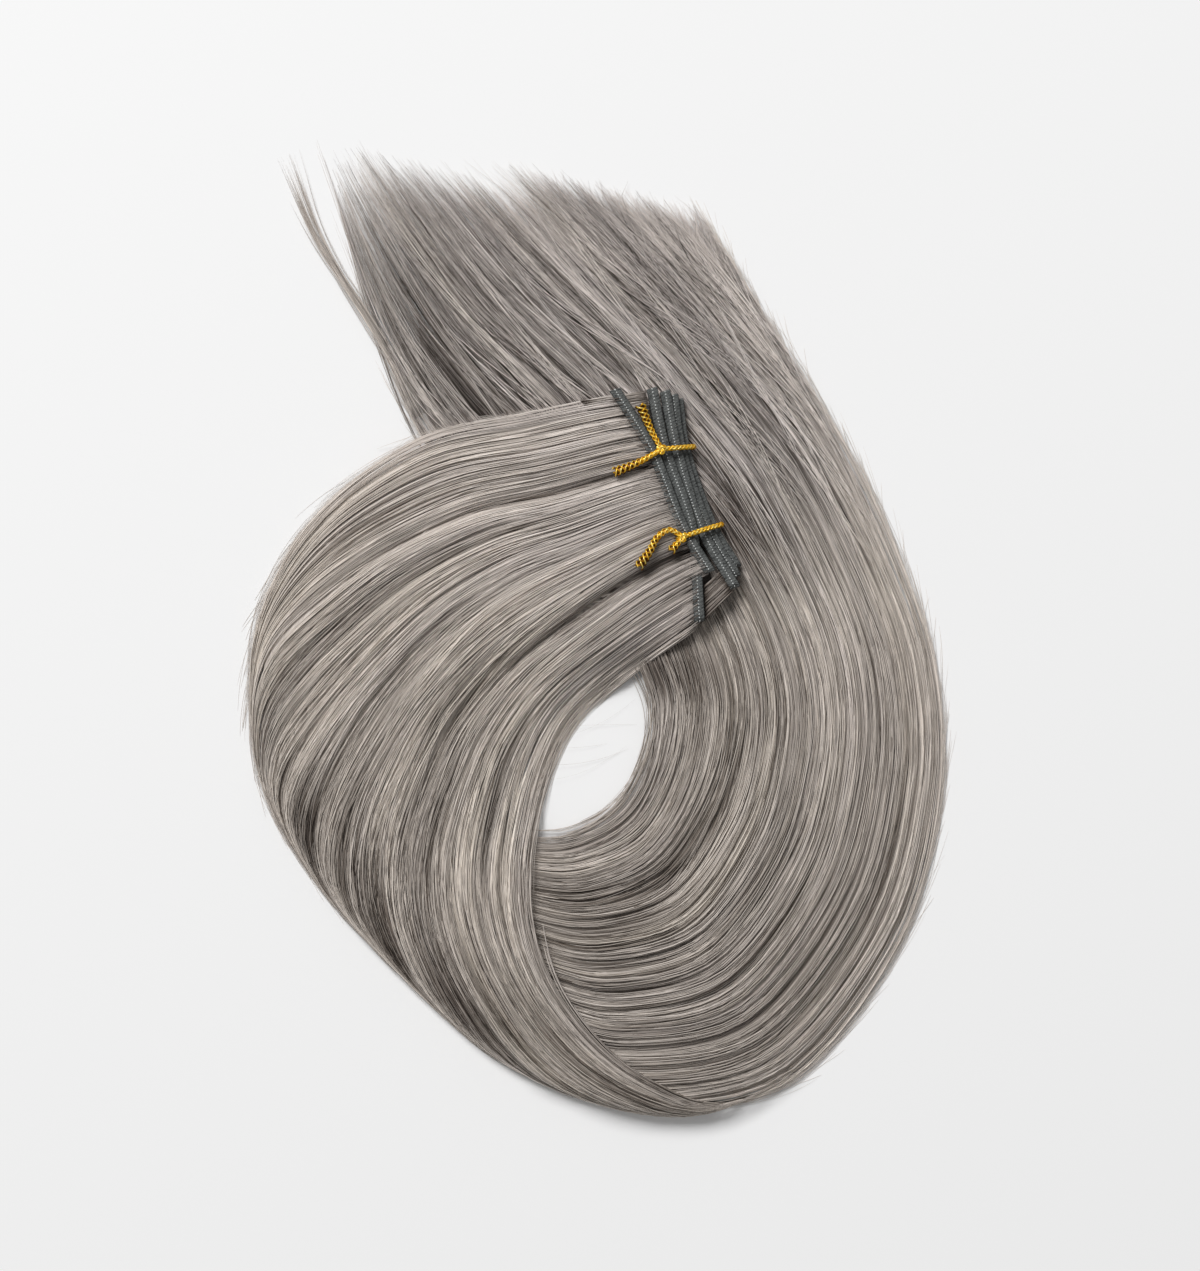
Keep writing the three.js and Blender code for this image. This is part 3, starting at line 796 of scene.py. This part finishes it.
def hair_mass(turn, style, reach, inset, base, roots=None):
    """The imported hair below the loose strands: a sheet on the band, pulled down to what it lies on."""
    bm = sheet_bmesh(MASS_COLUMNS, MASS_ROWS)
    first, last = reach

    def shape(u, v):
        lane = np.empty_like(u)
        rows = np.rint(v * MASS_ROWS)
        for row in np.unique(rows):
            middle = first + (last - first) * row / MASS_ROWS
            inner, outer = inset(middle)
            lane[rows == row] = style.lane_at(inner + (1 - inner - outer) * u[rows == row], middle)
        ragged = 0.012 * np.sin(u * 97) + 0.01 * np.sin(u * 41 + 1)
        along = first + (last - first) * v * (1 + ragged)
        places, down = style.lay(lane[:, None], along[:, None])
        shade, warmth = style.tone(lane[:, None], along[:, None], down)
        places = places[:, 0]
        # Painted shade: near the sewn line the sheet is darker, where the gaps between the bundles fall in shadow.
        if roots is not None:
            off = np.interp(places[:, 1], roots[:, 0], roots[:, 1]) - places[:, 0]
            shade -= (0.75 * (1 - smooth(1.5 * MM, 5 * MM, off)) * (along < 0.12))[:, None]
        places[:, 2] -= MASS_DEPTH + 0.15 * MM * (1 + np.sin(lane * 130 + 3 * np.sin(along * 14)))
        places[:, 2] *= 1 - 0.75 * smooth(0.9, 1.0, v)
        places[:, 2] = np.maximum(places[:, 2], 0.35 * MM)
        return places, np.concatenate([shade, warmth], axis=1)

    bend(bm, shape, "shade", "warmth")
    for vert in bmesh.ops.extrude_face_region(bm, geom=bm.faces[:])["geom"]:
        if isinstance(vert, bmesh.types.BMVert):
            vert.co.z = max(min(base(vert.co), vert.co.z - 0.2 * MM), 0.05 * MM)
    bmesh.ops.recalc_face_normals(bm, faces=bm.faces[:])
    name = f"{turn}_mass"
    return add_piece(name, to_mesh(name, bm), material("hair_mass", mass_material), "hair", turn)


def tip_end(rng, style, lane):
    """Where each strand ends: at the ragged cut, a little past it or short of it."""
    short = rng.exponential(0.024, len(lane)) - 0.01
    across = style.spread(lane, 1.0)
    tufts = 0.004 * np.sin(across * 57) + 0.003 * np.sin(across * 101 + 1)
    past = rng.uniform(0, 0.009, len(lane)) * (rng.uniform(0, 1, len(lane)) < 0.15)
    return 1.004 + np.interp(across, TIP_ACROSS, TIP_REACH) + tufts - short + past


def edge_depth(rng, across, deepest):
    """Strands lie at any depth of the top layer, and at the edges down to the floor."""
    rim = smooth(0.9, 1.0, np.abs(2 * across - 1))
    return rng.uniform(-0.2, deepest, len(across)) * MM + rim * rng.uniform(0, 2.0, len(across)) * MM


def spread_across(rng, count, first):
    """Evenly over the band from first to its outer edge, thinning out over both."""
    return np.sort(rng.uniform(first, 0.985, count) + rng.normal(0, 0.011, count))


def hair_piece(name, rng, shares, rows, width, root=0.5, tip=0.2):
    """One layer of hair, from the path, the shade and the warmth of its strands."""
    path, shade, warmth = rows
    radius = taper(rng, len(path), shares, width, root, tip)
    strand_piece(name, path, radius, shade, warmth, material("hair_strands", strand_material), "hair")


def short_layer(name, style, hair, begin, end, first):
    """Strands that come up out of a turn and go under again."""
    start = style.rng.uniform(begin, end, hair.short_strands)
    stop = start + style.rng.uniform(0.14, 0.24, len(start))
    across = style.short_lanes(start, stop, first)
    shares = np.linspace(0, 1, 12)
    rows = comb(style, across, start, stop, shares, edge_depth(style.rng, across, 0.7), 1.4 * MM)
    hair_piece(name, style.rng, shares, rows, hair.strand_width, 0.3)


def lower_long_layer(style, rng, hair):
    """Strands that run the whole length of the lower turn."""
    across = spread_across(rng, hair.lower_strands, LOWER_FIRST)
    start = rng.uniform(0.055, 0.07, len(across))
    shares = np.interp(np.linspace(0, 1, 42), [0, 0.7, 1], [0, 0.6, 1])
    rows = comb(style, across, start, tip_end(rng, style, across), shares, edge_depth(rng, across, 1.0))
    hair_piece("lower_long_strands", rng, shares, rows, hair.strand_width)


def tip_layer(style, rng, hair):
    """Thin strands that feather the cut ends, paler towards their tips."""
    start = rng.uniform(0.74, 0.88, hair.tip_strands)
    across = style.short_lanes(start, 1.9 + 0 * start, LOWER_FIRST)
    shares = np.linspace(0, 1, 8) ** 0.7
    end = tip_end(rng, style, across)
    path, shade, warmth = comb(style, across, start, end, shares, edge_depth(rng, across, 0.7), flick=0.014)
    path[:, 0, 2] = np.maximum(path[:, 0, 2] - 1.2 * MM, NEAR_FLOOR)
    shade = shade + rng.normal(0, 0.17, (len(across), 1))
    shade[:, -3:] += np.array([0.1, 0.2, 0.28])
    hair_piece(
        "tip_strands", rng, shares, (path, np.clip(shade, 0, 1), warmth), 0.75 * hair.strand_width, 0.3, 0.15)


def crossing_layer(style, rng, hair):
    """Thin locks that cross the tail at a slant."""
    locks, strands = 130, 5
    count = locks * strands

    def each(low, high):
        return np.repeat(rng.uniform(low, high, locks), strands)

    across = each(0.1, 1.0) + rng.normal(0, 0.0025, count)
    cross = each(-0.12, 0.08)[:, None]
    start = each(0.62, 0.84) + rng.normal(0, 0.015, count)
    end = np.minimum(start + each(0.1, 0.24), 0.98) + rng.normal(0, 0.01, count)
    shares = np.linspace(0, 1, 10)
    depth = rng.uniform(-0.8, 0.0, count) * MM
    path, shade, warmth = comb(style, across, start, end, shares, depth, 1.8 * MM, cross)
    shade = np.clip(shade + np.repeat(rng.normal(0.36, 0.18, locks), strands)[:, None], 0, 1)
    hair_piece("crossing_strands", rng, shares, (path, shade, warmth), hair.strand_width, 0.3)


class WEFT_OT_lower_hair(bpy.types.Operator):
    """Combs the lower turn of hair, from under the coil to the cut tips"""

    bl_idname = "weft.lower_hair"
    bl_label = "Lower hair"

    def execute(self, context):
        hair = context.scene.weft_hair
        style = Style(LOWER_SECTIONS, LOWER_PARTINGS, LOWER_LIGHT_AND_SHADE, sweep_in, flat_rim, 1.0, SEEDS["lower"])
        hair_mass("lower_hair", style, (0.0, 0.92), lambda along: (0.04, 0.035), lambda co: 0.1 * MM)
        lower_long_layer(style, style.rng, hair)
        short_layer("lower_short_strands", style, hair, 0.06, 0.75, LOWER_FIRST)
        tip_layer(style, style.rng, hair)
        crossing_layer(style, style.rng, hair)
        return {"FINISHED"}


def root_start(band, across):
    """Share of the upper band's length at which each strand leaves the sewn edge."""
    steps = np.linspace(0.0, 0.12, 80)
    places = band.place(across[:, None], steps)
    edge = np.interp(places[..., 1], ROOT_LINE[:, 0], ROOT_LINE[:, 1]) - 0.4 * MM
    return steps[np.argmax(places[..., 0] < edge, axis=1)]


def seam_height(path):
    """Height of the seam that each strand leaves."""
    return np.where(path[:, :1, 1] > SEAM_STEP * MM, TOP_SEAM, FOLDED_SEAM) * MM


def upper_long_layer(style, rng, hair):
    """Strands that leave the seam in bundles and run to where the upper turn goes under."""
    across = spread_across(rng, hair.upper_strands, UPPER_FIRST)
    count = len(across)
    start = root_start(style.band, across)
    turned = np.interp(across, TURN_LANE, TURN_ALONG) + rng.uniform(0.02, 0.1, count)
    end = np.minimum(turned, rng.uniform(0.9, 1.0, count))
    shares = np.linspace(0, 1, 36)
    rows = comb(style, across, start, end, shares, edge_depth(rng, across, 1.0), bundles=BUNDLES)
    height = rows[0][..., 2]
    lift = (seam_height(rows[0]) - height[:, :1]) * np.exp(-(end - start)[:, None] * shares / 0.03)
    height += lift + rng.uniform(-0.2, 0.2, (count, 1)) * MM
    np.maximum(height, 0.2 * MM, out=height)
    hair_piece("upper_long_strands", rng, shares, rows, hair.strand_width)


def root_shadow_layer(style, rng):
    """Dark strands painted as the shadow in the gaps between the bundles at the seam."""
    across = (np.arange(1, BUNDLES) + rng.normal(0, 0.12, BUNDLES - 1)) / BUNDLES
    start = root_start(style.band, across) - 0.001
    end = start + rng.uniform(0.004, 0.012, len(across))
    shares = np.linspace(0, 1, 5)
    path, _, warmth = comb(style, across, start, end, shares, 0 * across)
    path[..., 2] = seam_height(path) + (0.4 - 0.5 * shares) * MM
    shade = rng.uniform(0.0, 0.16, (len(across), 1))
    hair_piece("root_shadow_strands", rng, shares, (path, shade, warmth), 0.36 * MM, 1.0, 0.15)


def edge_layer(style, rng, hair):
    """Strands that hang over the inner edge of the head, with painted shade that is deeper the lower they lie."""
    across = rng.uniform(-0.006, 0.05, EDGE_STRANDS)
    start = root_start(style.band, across) + rng.uniform(0, 0.02, EDGE_STRANDS)
    depth = rng.uniform(0, 1, EDGE_STRANDS) ** 1.3 * 4.2 * MM
    shares = np.linspace(0, 1, 9)
    end = start + rng.uniform(0.08, 0.16, EDGE_STRANDS)
    path, shade, warmth = comb(style, across, start, end, shares, depth, 1.0 * MM)
    # Painted shade: darker the deeper a strand hangs, fading towards its end.
    shade = np.clip(shade - 90 * depth[:, None] * (1 - shares), 0, 1)
    hair_piece("edge_strands", rng, shares, (path, shade, warmth), hair.strand_width)


def eye_layer(style, rng, hair):
    """Thin pale strands along the rim of the eye; their paleness is painted light that lifts the shade at the rim."""
    across = rng.normal(0.022, 0.012, EDGE_STRANDS)
    start = rng.uniform(0.13, 0.3, EDGE_STRANDS)
    end = start + rng.uniform(0.2, 0.4, EDGE_STRANDS)
    shares = np.linspace(0, 1, 17)
    depth = rng.uniform(0, 1.5, EDGE_STRANDS) * MM
    path, shade, warmth = comb(style, across, start, end, shares, depth, 1.0 * MM)
    hair_piece("eye_fringe", rng, shares, (path, np.clip(shade + 0.2, 0, 1), warmth), 0.45 * hair.strand_width)


class WEFT_OT_upper_hair(bpy.types.Operator):
    """Combs the upper turn of hair, from the tracks round the left of the coil"""

    bl_idname = "weft.upper_hair"
    bl_label = "Upper hair"

    def execute(self, context):
        hair = context.scene.weft_hair
        style = Style(UPPER_SECTIONS, UPPER_PARTINGS, UPPER_LIGHT_AND_SHADE, fan_out, eye_rim, 0.0, SEEDS["upper"])
        lower = BVHTree.FromObject(bpy.data.objects["lower_hair_mass"], context.evaluated_depsgraph_get())

        def base(co):
            hit = lower.ray_cast(Vector((co.x, co.y, 0.05)), Vector((0, 0, -1)))[0]
            return 0.1 * MM if hit is None else hit.z + 0.3 * MM

        def inset(along):
            return 0.06 + 0.07 * smooth(0.12, 0.2, along) * (1 - smooth(0.45, 0.55, along)), 0.045

        hair_mass("upper_hair", style, (0.035, 0.93), inset, base, ROOT_LINE)
        upper_long_layer(style, style.rng, hair)
        root_shadow_layer(style, style.rng)
        short_layer("upper_short_strands", style, hair, 0.09, 0.72, UPPER_FIRST)
        edge_layer(style, style.rng, hair)
        eye_layer(style, style.rng, hair)
        return {"FINISHED"}


class WEFT_OT_second_rows(bpy.types.Operator):
    """Combs the hair that shows between the tracks"""

    bl_idname = "weft.second_rows"
    bl_label = "Second rows"

    def execute(self, context):
        hair = context.scene.weft_hair
        rng = np.random.default_rng(SEEDS["second"])
        shares = np.linspace(0, 1, 7)
        for row in SECOND_ROWS:
            spot = np.sort(rng.uniform(0, 1, row.strands))[:, None, None]
            roots, ends = np.array(row.roots) * MM, np.array(row.ends) * MM
            first = roots[0] + (roots[1] - roots[0]) * spot
            last = ends[0] + (ends[1] - ends[0]) * np.clip(spot + rng.normal(0, 0.06, spot.shape), 0, 1)
            path = first + (last - first) * shares[:, None]
            path[..., 2] += 1.1 * MM * np.sin(np.pi * shares * 0.8) - rng.uniform(0, 1.2, (row.strands, 1)) * MM
            # Painted shade at both ends, where the hair leaves the track and where it goes under.
            shade = rng.normal(row.shade, 0.16, (row.strands, 1)) - 0.35 * np.abs(1 - 2.2 * shares) ** 3
            hair_piece(row.name, rng, shares, (path, np.clip(shade, 0, 1), 0.5), hair.strand_width, 0.6, 0.5)
        return {"FINISHED"}


def wisp_piece(rng, hair):
    """The wisp beside the tail: most of its strands lean to one side, some to the other."""
    line = through(WISP_PATH, 4.5 * MM)
    lean = np.concatenate([rng.normal(0.45, 0.16, 45), rng.normal(-0.35, 0.12, 15), rng.normal(0, 0.6, 20)])
    count, steps = len(lean), len(line)
    share = np.linspace(0, 1, steps)
    width = np.interp(share, [0, 0.25, 0.55, 1], [3.0, 2.0, 1.3, 3.6]) * MM
    aside = np.stack([-headings(line)[:, 1], headings(line)[:, 0], 0 * share], axis=-1)
    offset = lean[:, None] + wander(rng, count, np.repeat(share[None], count, 0), (0.7, 1.5), 0.15)
    path = line + aside * (offset * width)[..., None]
    reach = np.minimum(rng.normal(0.86, 0.1, (count, 1)), 1.0) * share
    path = np.stack([[np.interp(reach[k], share, path[k, :, axis]) for k in range(count)] for axis in range(3)], -1)
    path[..., 2] = np.maximum(path[..., 2] * rng.uniform(0.3, 1.0, (count, 1)), NEAR_FLOOR)
    radius = taper(rng, count, share, 0.7 * hair.strand_width, 0.5, 0.15)
    shade = np.clip(rng.normal(0.76, 0.13, (count, 1)), 0, 1)
    strand_piece("wisp_strands", path, radius, shade, 0.5, material("hair_strands", strand_material), "hair")


def stray_piece(rng, hair, stray):
    """Single hairs along one edge of a band, bowed out from it or with a free end."""
    count = int(hair.stray_strands * stray.part)
    steps, length, inset, shade = (9, 0.4, 0.004, 0.9) if stray.free else (15, 1, 0.01, 0.8)
    start = rng.uniform(stray.first, stray.last, count)
    shares = np.linspace(0, 1, steps)
    along = start[:, None] + rng.uniform(0.06, 0.2, (count, 1)) * shares * length
    far = stray.stand * np.where(rng.uniform(0, 1, (count, 1)) < 0.6, 0.5, 1.1)
    bow = shares ** rng.uniform(0.6, 1.6, (count, 1))
    stand = np.minimum(rng.gamma(1.1, far), 3 * stray.stand) * (bow if stray.free else np.sin(np.pi * bow))
    path = Band(stray.sections).place(stray.edge + (2 * stray.edge - 1) * (stand - inset), along)
    path[..., 2] = np.maximum(0.6 * path[..., 2] - 30 * MM * stand, 0.12 * MM)
    hair_piece(stray.name, rng, shares, (path, shade, 0.5), 0.1 * MM, 0.6, 0.4)


def arc_piece(rng):
    """Single hairs that arch over the floor in the eye of the coil."""
    shares = np.linspace(0, 1, 15)
    each = (EYE_ARCS, 1)
    roots = Band(UPPER_SECTIONS).place(0.03, rng.uniform(0.2, 0.42, each))
    heading = np.radians(rng.uniform(-70, 60, each))
    far = rng.uniform(12, 26, each) * MM * shares
    sag = rng.uniform(-11, 11, each) * MM * shares ** 2
    path = np.repeat(roots, len(shares), axis=1)
    path[..., 0] += far * np.cos(heading) - sag * np.sin(heading)
    path[..., 1] += far * np.sin(heading) + sag * np.cos(heading)
    path[..., 2] = 1.5 * MM * (1 - shares) + 0.2 * MM
    hair_piece("eye_arcs", rng, shares, (path, 0.6, 0.5), 0.06 * MM, 0.6, 0.4)


class WEFT_OT_loose_hair(bpy.types.Operator):
    """Draws the wisp beside the tail and the stray hairs round the coil"""

    bl_idname = "weft.loose_hair"
    bl_label = "Loose hair"

    def execute(self, context):
        hair = context.scene.weft_hair
        rng = np.random.default_rng(SEEDS["loose"])
        wisp_piece(rng, hair)
        for stray in STRAYS:
            stray_piece(rng, hair, stray)
        arc_piece(rng)
        return {"FINISHED"}


def strip_bmesh(run, drop):
    """One pass of track: three cords under the thread that is sewn round them, its ends folded down."""
    track = bpy.context.scene.weft_track
    line = through(run, 0.25 * MM)
    step = np.linalg.norm(line[1] - line[0])
    near_end = np.minimum(np.arange(len(line)), np.arange(len(line))[::-1]) * step
    line[:, 2] -= drop * MM * np.clip(1 - near_end / (FOLD_REACH * MM), 0, 1) ** 2
    over = np.cross(headings(line), TRACK_ACROSS)
    over *= np.sign(over[:, 2:3]) / np.linalg.norm(over, axis=1, keepdims=True)

    def shape(row, turn):
        flat = np.sign(np.cos(turn)) * np.abs(np.cos(turn)) ** 0.7
        high = np.sign(np.sin(turn)) * np.abs(np.sin(turn)) ** 0.3
        cord = np.abs(np.cos(1.5 * np.pi * flat))
        thread = 0.5 + 0.5 * np.sin(2 * np.pi * row * step / (1.0 * MM) + 2.6 * flat)
        rough = np.sin(row * 12.9 + 7.3 * turn) * np.sin(row * 5.7 - 3.1 * turn)
        rise = track.thickness / 2 * high * (0.7 + 0.16 * cord + 0.08 * thread + 0.06 * rough)
        places = line[row] + TRACK_ACROSS * (flat * track.width / 2)[:, None] + over[row] * rise[:, None]
        # Painted light and shade: paler on the tops of the cords and the turns of the thread, deeper in the grooves
        # between them, with some random unevenness.
        return places, 0.5 * cord + 0.25 * thread + 0.12 * rough + 0.05

    return tube_bmesh(line, TRACK_SIDES, "groove", shape)


class WEFT_OT_tracks(bpy.types.Operator):
    """Sews the single top track and the folded bundle below it"""

    bl_idname = "weft.tracks"
    bl_label = "Tracks"

    def execute(self, context):
        finish = material("track_thread", track_material)
        for node, runs, drop in (("top_track", [TOP_RUN], TOP_DROP), ("folded_track", FOLDED_RUNS, FOLD_DROP)):
            name = f"{node}_strip"
            add_piece(name, to_mesh(name, *[strip_bmesh(run, drop) for run in runs]), finish, "track", node)
        return {"FINISHED"}


def dashes(line, rng, pitch, length, swing, aside, height):
    """Short stitches along a run: a middle place and a direction for each."""
    middle = line[:: max(1, int(round(pitch / np.linalg.norm(line[1] - line[0]))))]
    heading = headings(middle)
    turn = np.where(np.arange(len(middle)) % 2 == 0, swing, -swing) + rng.normal(0, 0.06, len(middle))
    flat = heading * np.cos(turn)[:, None] + TRACK_ACROSS * np.sin(turn)[:, None]
    centre = middle + TRACK_ACROSS * aside + UP * height
    share = np.linspace(-0.5, 0.5, 4)
    path = centre[:, None] + flat[:, None] * (share * length)[None, :, None]
    path[..., 2] += 0.09 * MM * np.cos(np.pi * share)[None, :]
    return path


class WEFT_OT_stitches(bpy.types.Operator):
    """Runs the pale seam and the dark overlock thread along each track"""

    bl_idname = "weft.stitches"
    bl_label = "Stitches"

    def execute(self, context):
        track = context.scene.weft_track
        rng = np.random.default_rng(SEEDS["stitches"])
        finish = material("stitch_thread", stitch_material)
        seam, wraps = [], []
        top = track.thickness / 2
        for run in [TOP_RUN, *FOLDED_RUNS]:
            line = through(run, 0.1 * MM)
            seam.append(dashes(line, rng, track.stitch_pitch, 0.5 * MM, 0.6, 0.0, top * 1.15))
            wraps.append(dashes(line, rng, 0.75 * MM, 1.3 * MM, 1.2, -track.width * 0.33, top * 0.85))
            wraps.append(dashes(line, rng, 0.75 * MM, 1.1 * MM, 1.2, track.width * 0.3, top * 0.85))
        for name, rows, radius, low, high in (
                ("seam_stitches", seam, 0.25, 0.7, 1.0), ("overlock_threads", wraps, 0.1, 0.0, 0.3)):
            path = np.concatenate(rows)
            each = (len(path), 1)
            thick = rng.uniform(0.8, 1.2, each) * radius * MM * np.array([0.6, 1.0, 1.0, 0.6])
            strand_piece(name, path, thick, rng.uniform(low, high, each), 0.0, finish, "track")
        return {"FINISHED"}


def cord_frame(line, facing):
    """Two directions across a cord. facing is any direction the cord never runs along."""
    heading = headings(line)
    side = np.cross(heading, facing)
    side /= np.linalg.norm(side, axis=1, keepdims=True)
    return side, np.cross(side, heading)


def core_bmesh(line, radius, facing):
    """The elastic inside a cord: gold where it is drawn tight, dark where it has loosened."""
    side, over = cord_frame(line, facing)

    def shape(row, turn):
        around = np.cos(turn)[:, None] * side[row] + np.sin(turn)[:, None] * over[row]
        return line[row] + around * radius[row][:, None], np.interp(radius[row] / MM, [0.5, 0.85], [0.4, 0.0])

    return tube_bmesh(line, CORD_SIDES, "shade", shape)


def wound_threads(line, radius, facing, pitch):
    """Metal threads wound round a cord, half of them each way, over and under by turns, and how far up each lies."""
    side, over = cord_frame(line, facing)
    run = np.linspace(0, 2 * np.pi, len(line)) * np.linalg.norm(np.diff(line, axis=0), axis=1).sum() / pitch
    threads = []
    for k in range(THREADS):
        way = 1 if k % 2 == 0 else -1
        turn = way * run + (k // 2) * np.pi * 2 / 3
        lift = radius * (1 + 0.1 * way * np.cos(3 * run))
        threads.append(line + (np.cos(turn)[:, None] * side + np.sin(turn)[:, None] * over) * lift[:, None])
    threads = np.stack(threads)
    return threads, (threads - line)[..., 2] / radius


def tie_pieces(name, tie, rng):
    """One tie: a band drawn round the tracks, its knot and two loosened tails."""
    sizes = bpy.context.scene.weft_tie
    finish = material("gold_thread", gold_material)
    across_tracks = (-0.31, 0.95, 0.0)
    band = through([tie.knot, *tie.band, tie.knot], 0.35 * MM)
    knot = np.array(tie.knot) * MM + KNOT_LOOP * KNOT_SIZE
    cords = [
        (band, np.full(len(band), sizes.cord_radius), across_tracks, 4.4 * MM, 0.32 * MM, slice(None)),
        (knot, np.full(len(knot), 0.85 * sizes.cord_radius), UP, 3.6 * MM, 0.32 * MM, slice(None))]
    for tail in tie.tails:
        line = through([tie.knot, *tail], 0.2 * MM)
        radius = sizes.cord_radius + (sizes.end_radius - sizes.cord_radius) * np.linspace(0, 1, len(line)) ** 1.5
        cords.append((line, radius, UP, 4.6 * MM, 0.27 * MM, slice(0, -3)))
    cores = []
    for k, (line, radius, facing, pitch, thick, inside) in enumerate(cords):
        cores.append(core_bmesh(line[inside], 0.72 * radius[inside], facing))
        threads, painted_top_light = wound_threads(line, radius - thick / 2, facing, pitch)
        width = thick * (0.85 + 0.3 * radius / sizes.end_radius) * np.ones((THREADS, 1))
        drift = wander(rng, THREADS, 0 * width + np.linspace(0, 1, len(line)), (3, 7), 0.12)
        bronze = np.interp(radius / MM, [0.75, 1.25], [0.74, 0.2])
        metal = np.stack([0.8 + 0 * bronze, bronze] * (THREADS // 2))
        # Painted light: each thread is paler where it lies on top of the cord and deeper down its sides.
        shade = np.clip(metal + rng.normal(0, 0.05, (THREADS, 1)) + drift + 0.45 * (painted_top_light - 0.6), 0, 1)
        strand_piece(f"{name}_threads_{k + 1}", threads, width, shade, 0.0, finish, "gold_cord")
    core = f"{name}_cord"
    add_piece(core, to_mesh(core, *cores), finish, "gold_cord", name)


class WEFT_OT_ties(bpy.types.Operator):
    """Knots the two gold cords round the tracks"""

    bl_idname = "weft.ties"
    bl_label = "Ties"

    def execute(self, context):
        rng = np.random.default_rng(SEEDS["ties"])
        for name, tie in TIES.items():
            tie_pieces(name, tie, rng)
        return {"FINISHED"}


class WEFT_OT_stage(bpy.types.Operator):
    """Lays the floor and sets the light and the camera overhead"""

    bl_idname = "weft.stage"
    bl_label = "Stage"

    def execute(self, context):
        scene = context.scene
        stage = scene.weft_stage
        bm = sheet_bmesh(2, 2)
        bmesh.ops.scale(bm, vec=(FLOOR_SIZE, FLOOR_SIZE, 1.0), verts=bm.verts[:])
        floor = add_piece("floor", to_mesh("floor", bm), material("floor_board", floor_material))
        world = bpy.data.worlds.new("room_light")
        world.use_nodes = True
        background = world.node_tree.nodes["Background"]
        background.inputs["Color"].default_value = (1.0, 1.0, 1.0, 1.0)
        background.inputs["Strength"].default_value = stage.sky
        scene.world = world
        light = bpy.data.lights.new("key_light", "AREA")
        light.shape = "DISK"
        light.size = KEY_SIZE
        light.energy = stage.key_power
        key = bpy.data.objects.new("key_light", light)
        key.location = KEY_PLACE
        key.rotation_euler = (-Vector(KEY_PLACE)).to_track_quat("-Z", "Y").to_euler()
        scene.collection.objects.link(key)
        scene.view_settings.view_transform = "Standard"
        camera = bpy.data.cameras.new("overhead")
        camera.lens = stage.lens
        camera.sensor_width = stage.sensor
        holder = bpy.data.objects.new("overhead", camera)
        distance = stage.lens / stage.sensor * PHOTO_HEIGHT * PHOTO_PIXEL
        x, y, z = VIEW_MIDDLE
        holder.location = (x, y, z + distance)
        scene.collection.objects.link(holder)
        scene.camera = holder
        return {"FINISHED"}


class WEFT_PT_panel(bpy.types.Panel):
    """Steps of the weft, in the order they are made"""

    bl_idname = "WEFT_PT_panel"
    bl_label = "Coiled hair weft"
    bl_space_type = "VIEW_3D"
    bl_region_type = "UI"
    bl_category = "Weft"

    def draw(self, context):
        for operator in OPERATORS:
            self.layout.operator(operator.bl_idname)
        for group in PROPERTY_GROUPS:
            box = self.layout.box()
            for name in group.__annotations__:
                box.prop(getattr(context.scene, PROPERTY_GROUPS[group]), name)


PROPERTY_GROUPS = {WeftHair: "weft_hair", WeftTrack: "weft_track", WeftTie: "weft_tie", WeftStage: "weft_stage"}
OPERATORS = [
    WEFT_OT_stage, WEFT_OT_lower_hair, WEFT_OT_upper_hair, WEFT_OT_second_rows, WEFT_OT_loose_hair,
    WEFT_OT_tracks, WEFT_OT_stitches, WEFT_OT_ties,
]


def register():
    for cls in [*PROPERTY_GROUPS, *OPERATORS, WEFT_PT_panel]:
        bpy.utils.register_class(cls)
    for group, name in PROPERTY_GROUPS.items():
        setattr(bpy.types.Scene, name, bpy.props.PointerProperty(type=group))


def unregister():
    for name in PROPERTY_GROUPS.values():
        delattr(bpy.types.Scene, name)
    for cls in reversed([*PROPERTY_GROUPS, *OPERATORS, WEFT_PT_panel]):
        bpy.utils.unregister_class(cls)


def main():
    register()
    bpy.ops.weft.stage()
    bpy.ops.weft.lower_hair()
    bpy.ops.weft.upper_hair()
    bpy.ops.weft.second_rows()
    bpy.ops.weft.loose_hair()
    bpy.ops.weft.tracks()
    bpy.ops.weft.stitches()
    bpy.ops.weft.ties()


if __name__ == "__main__":
    main()
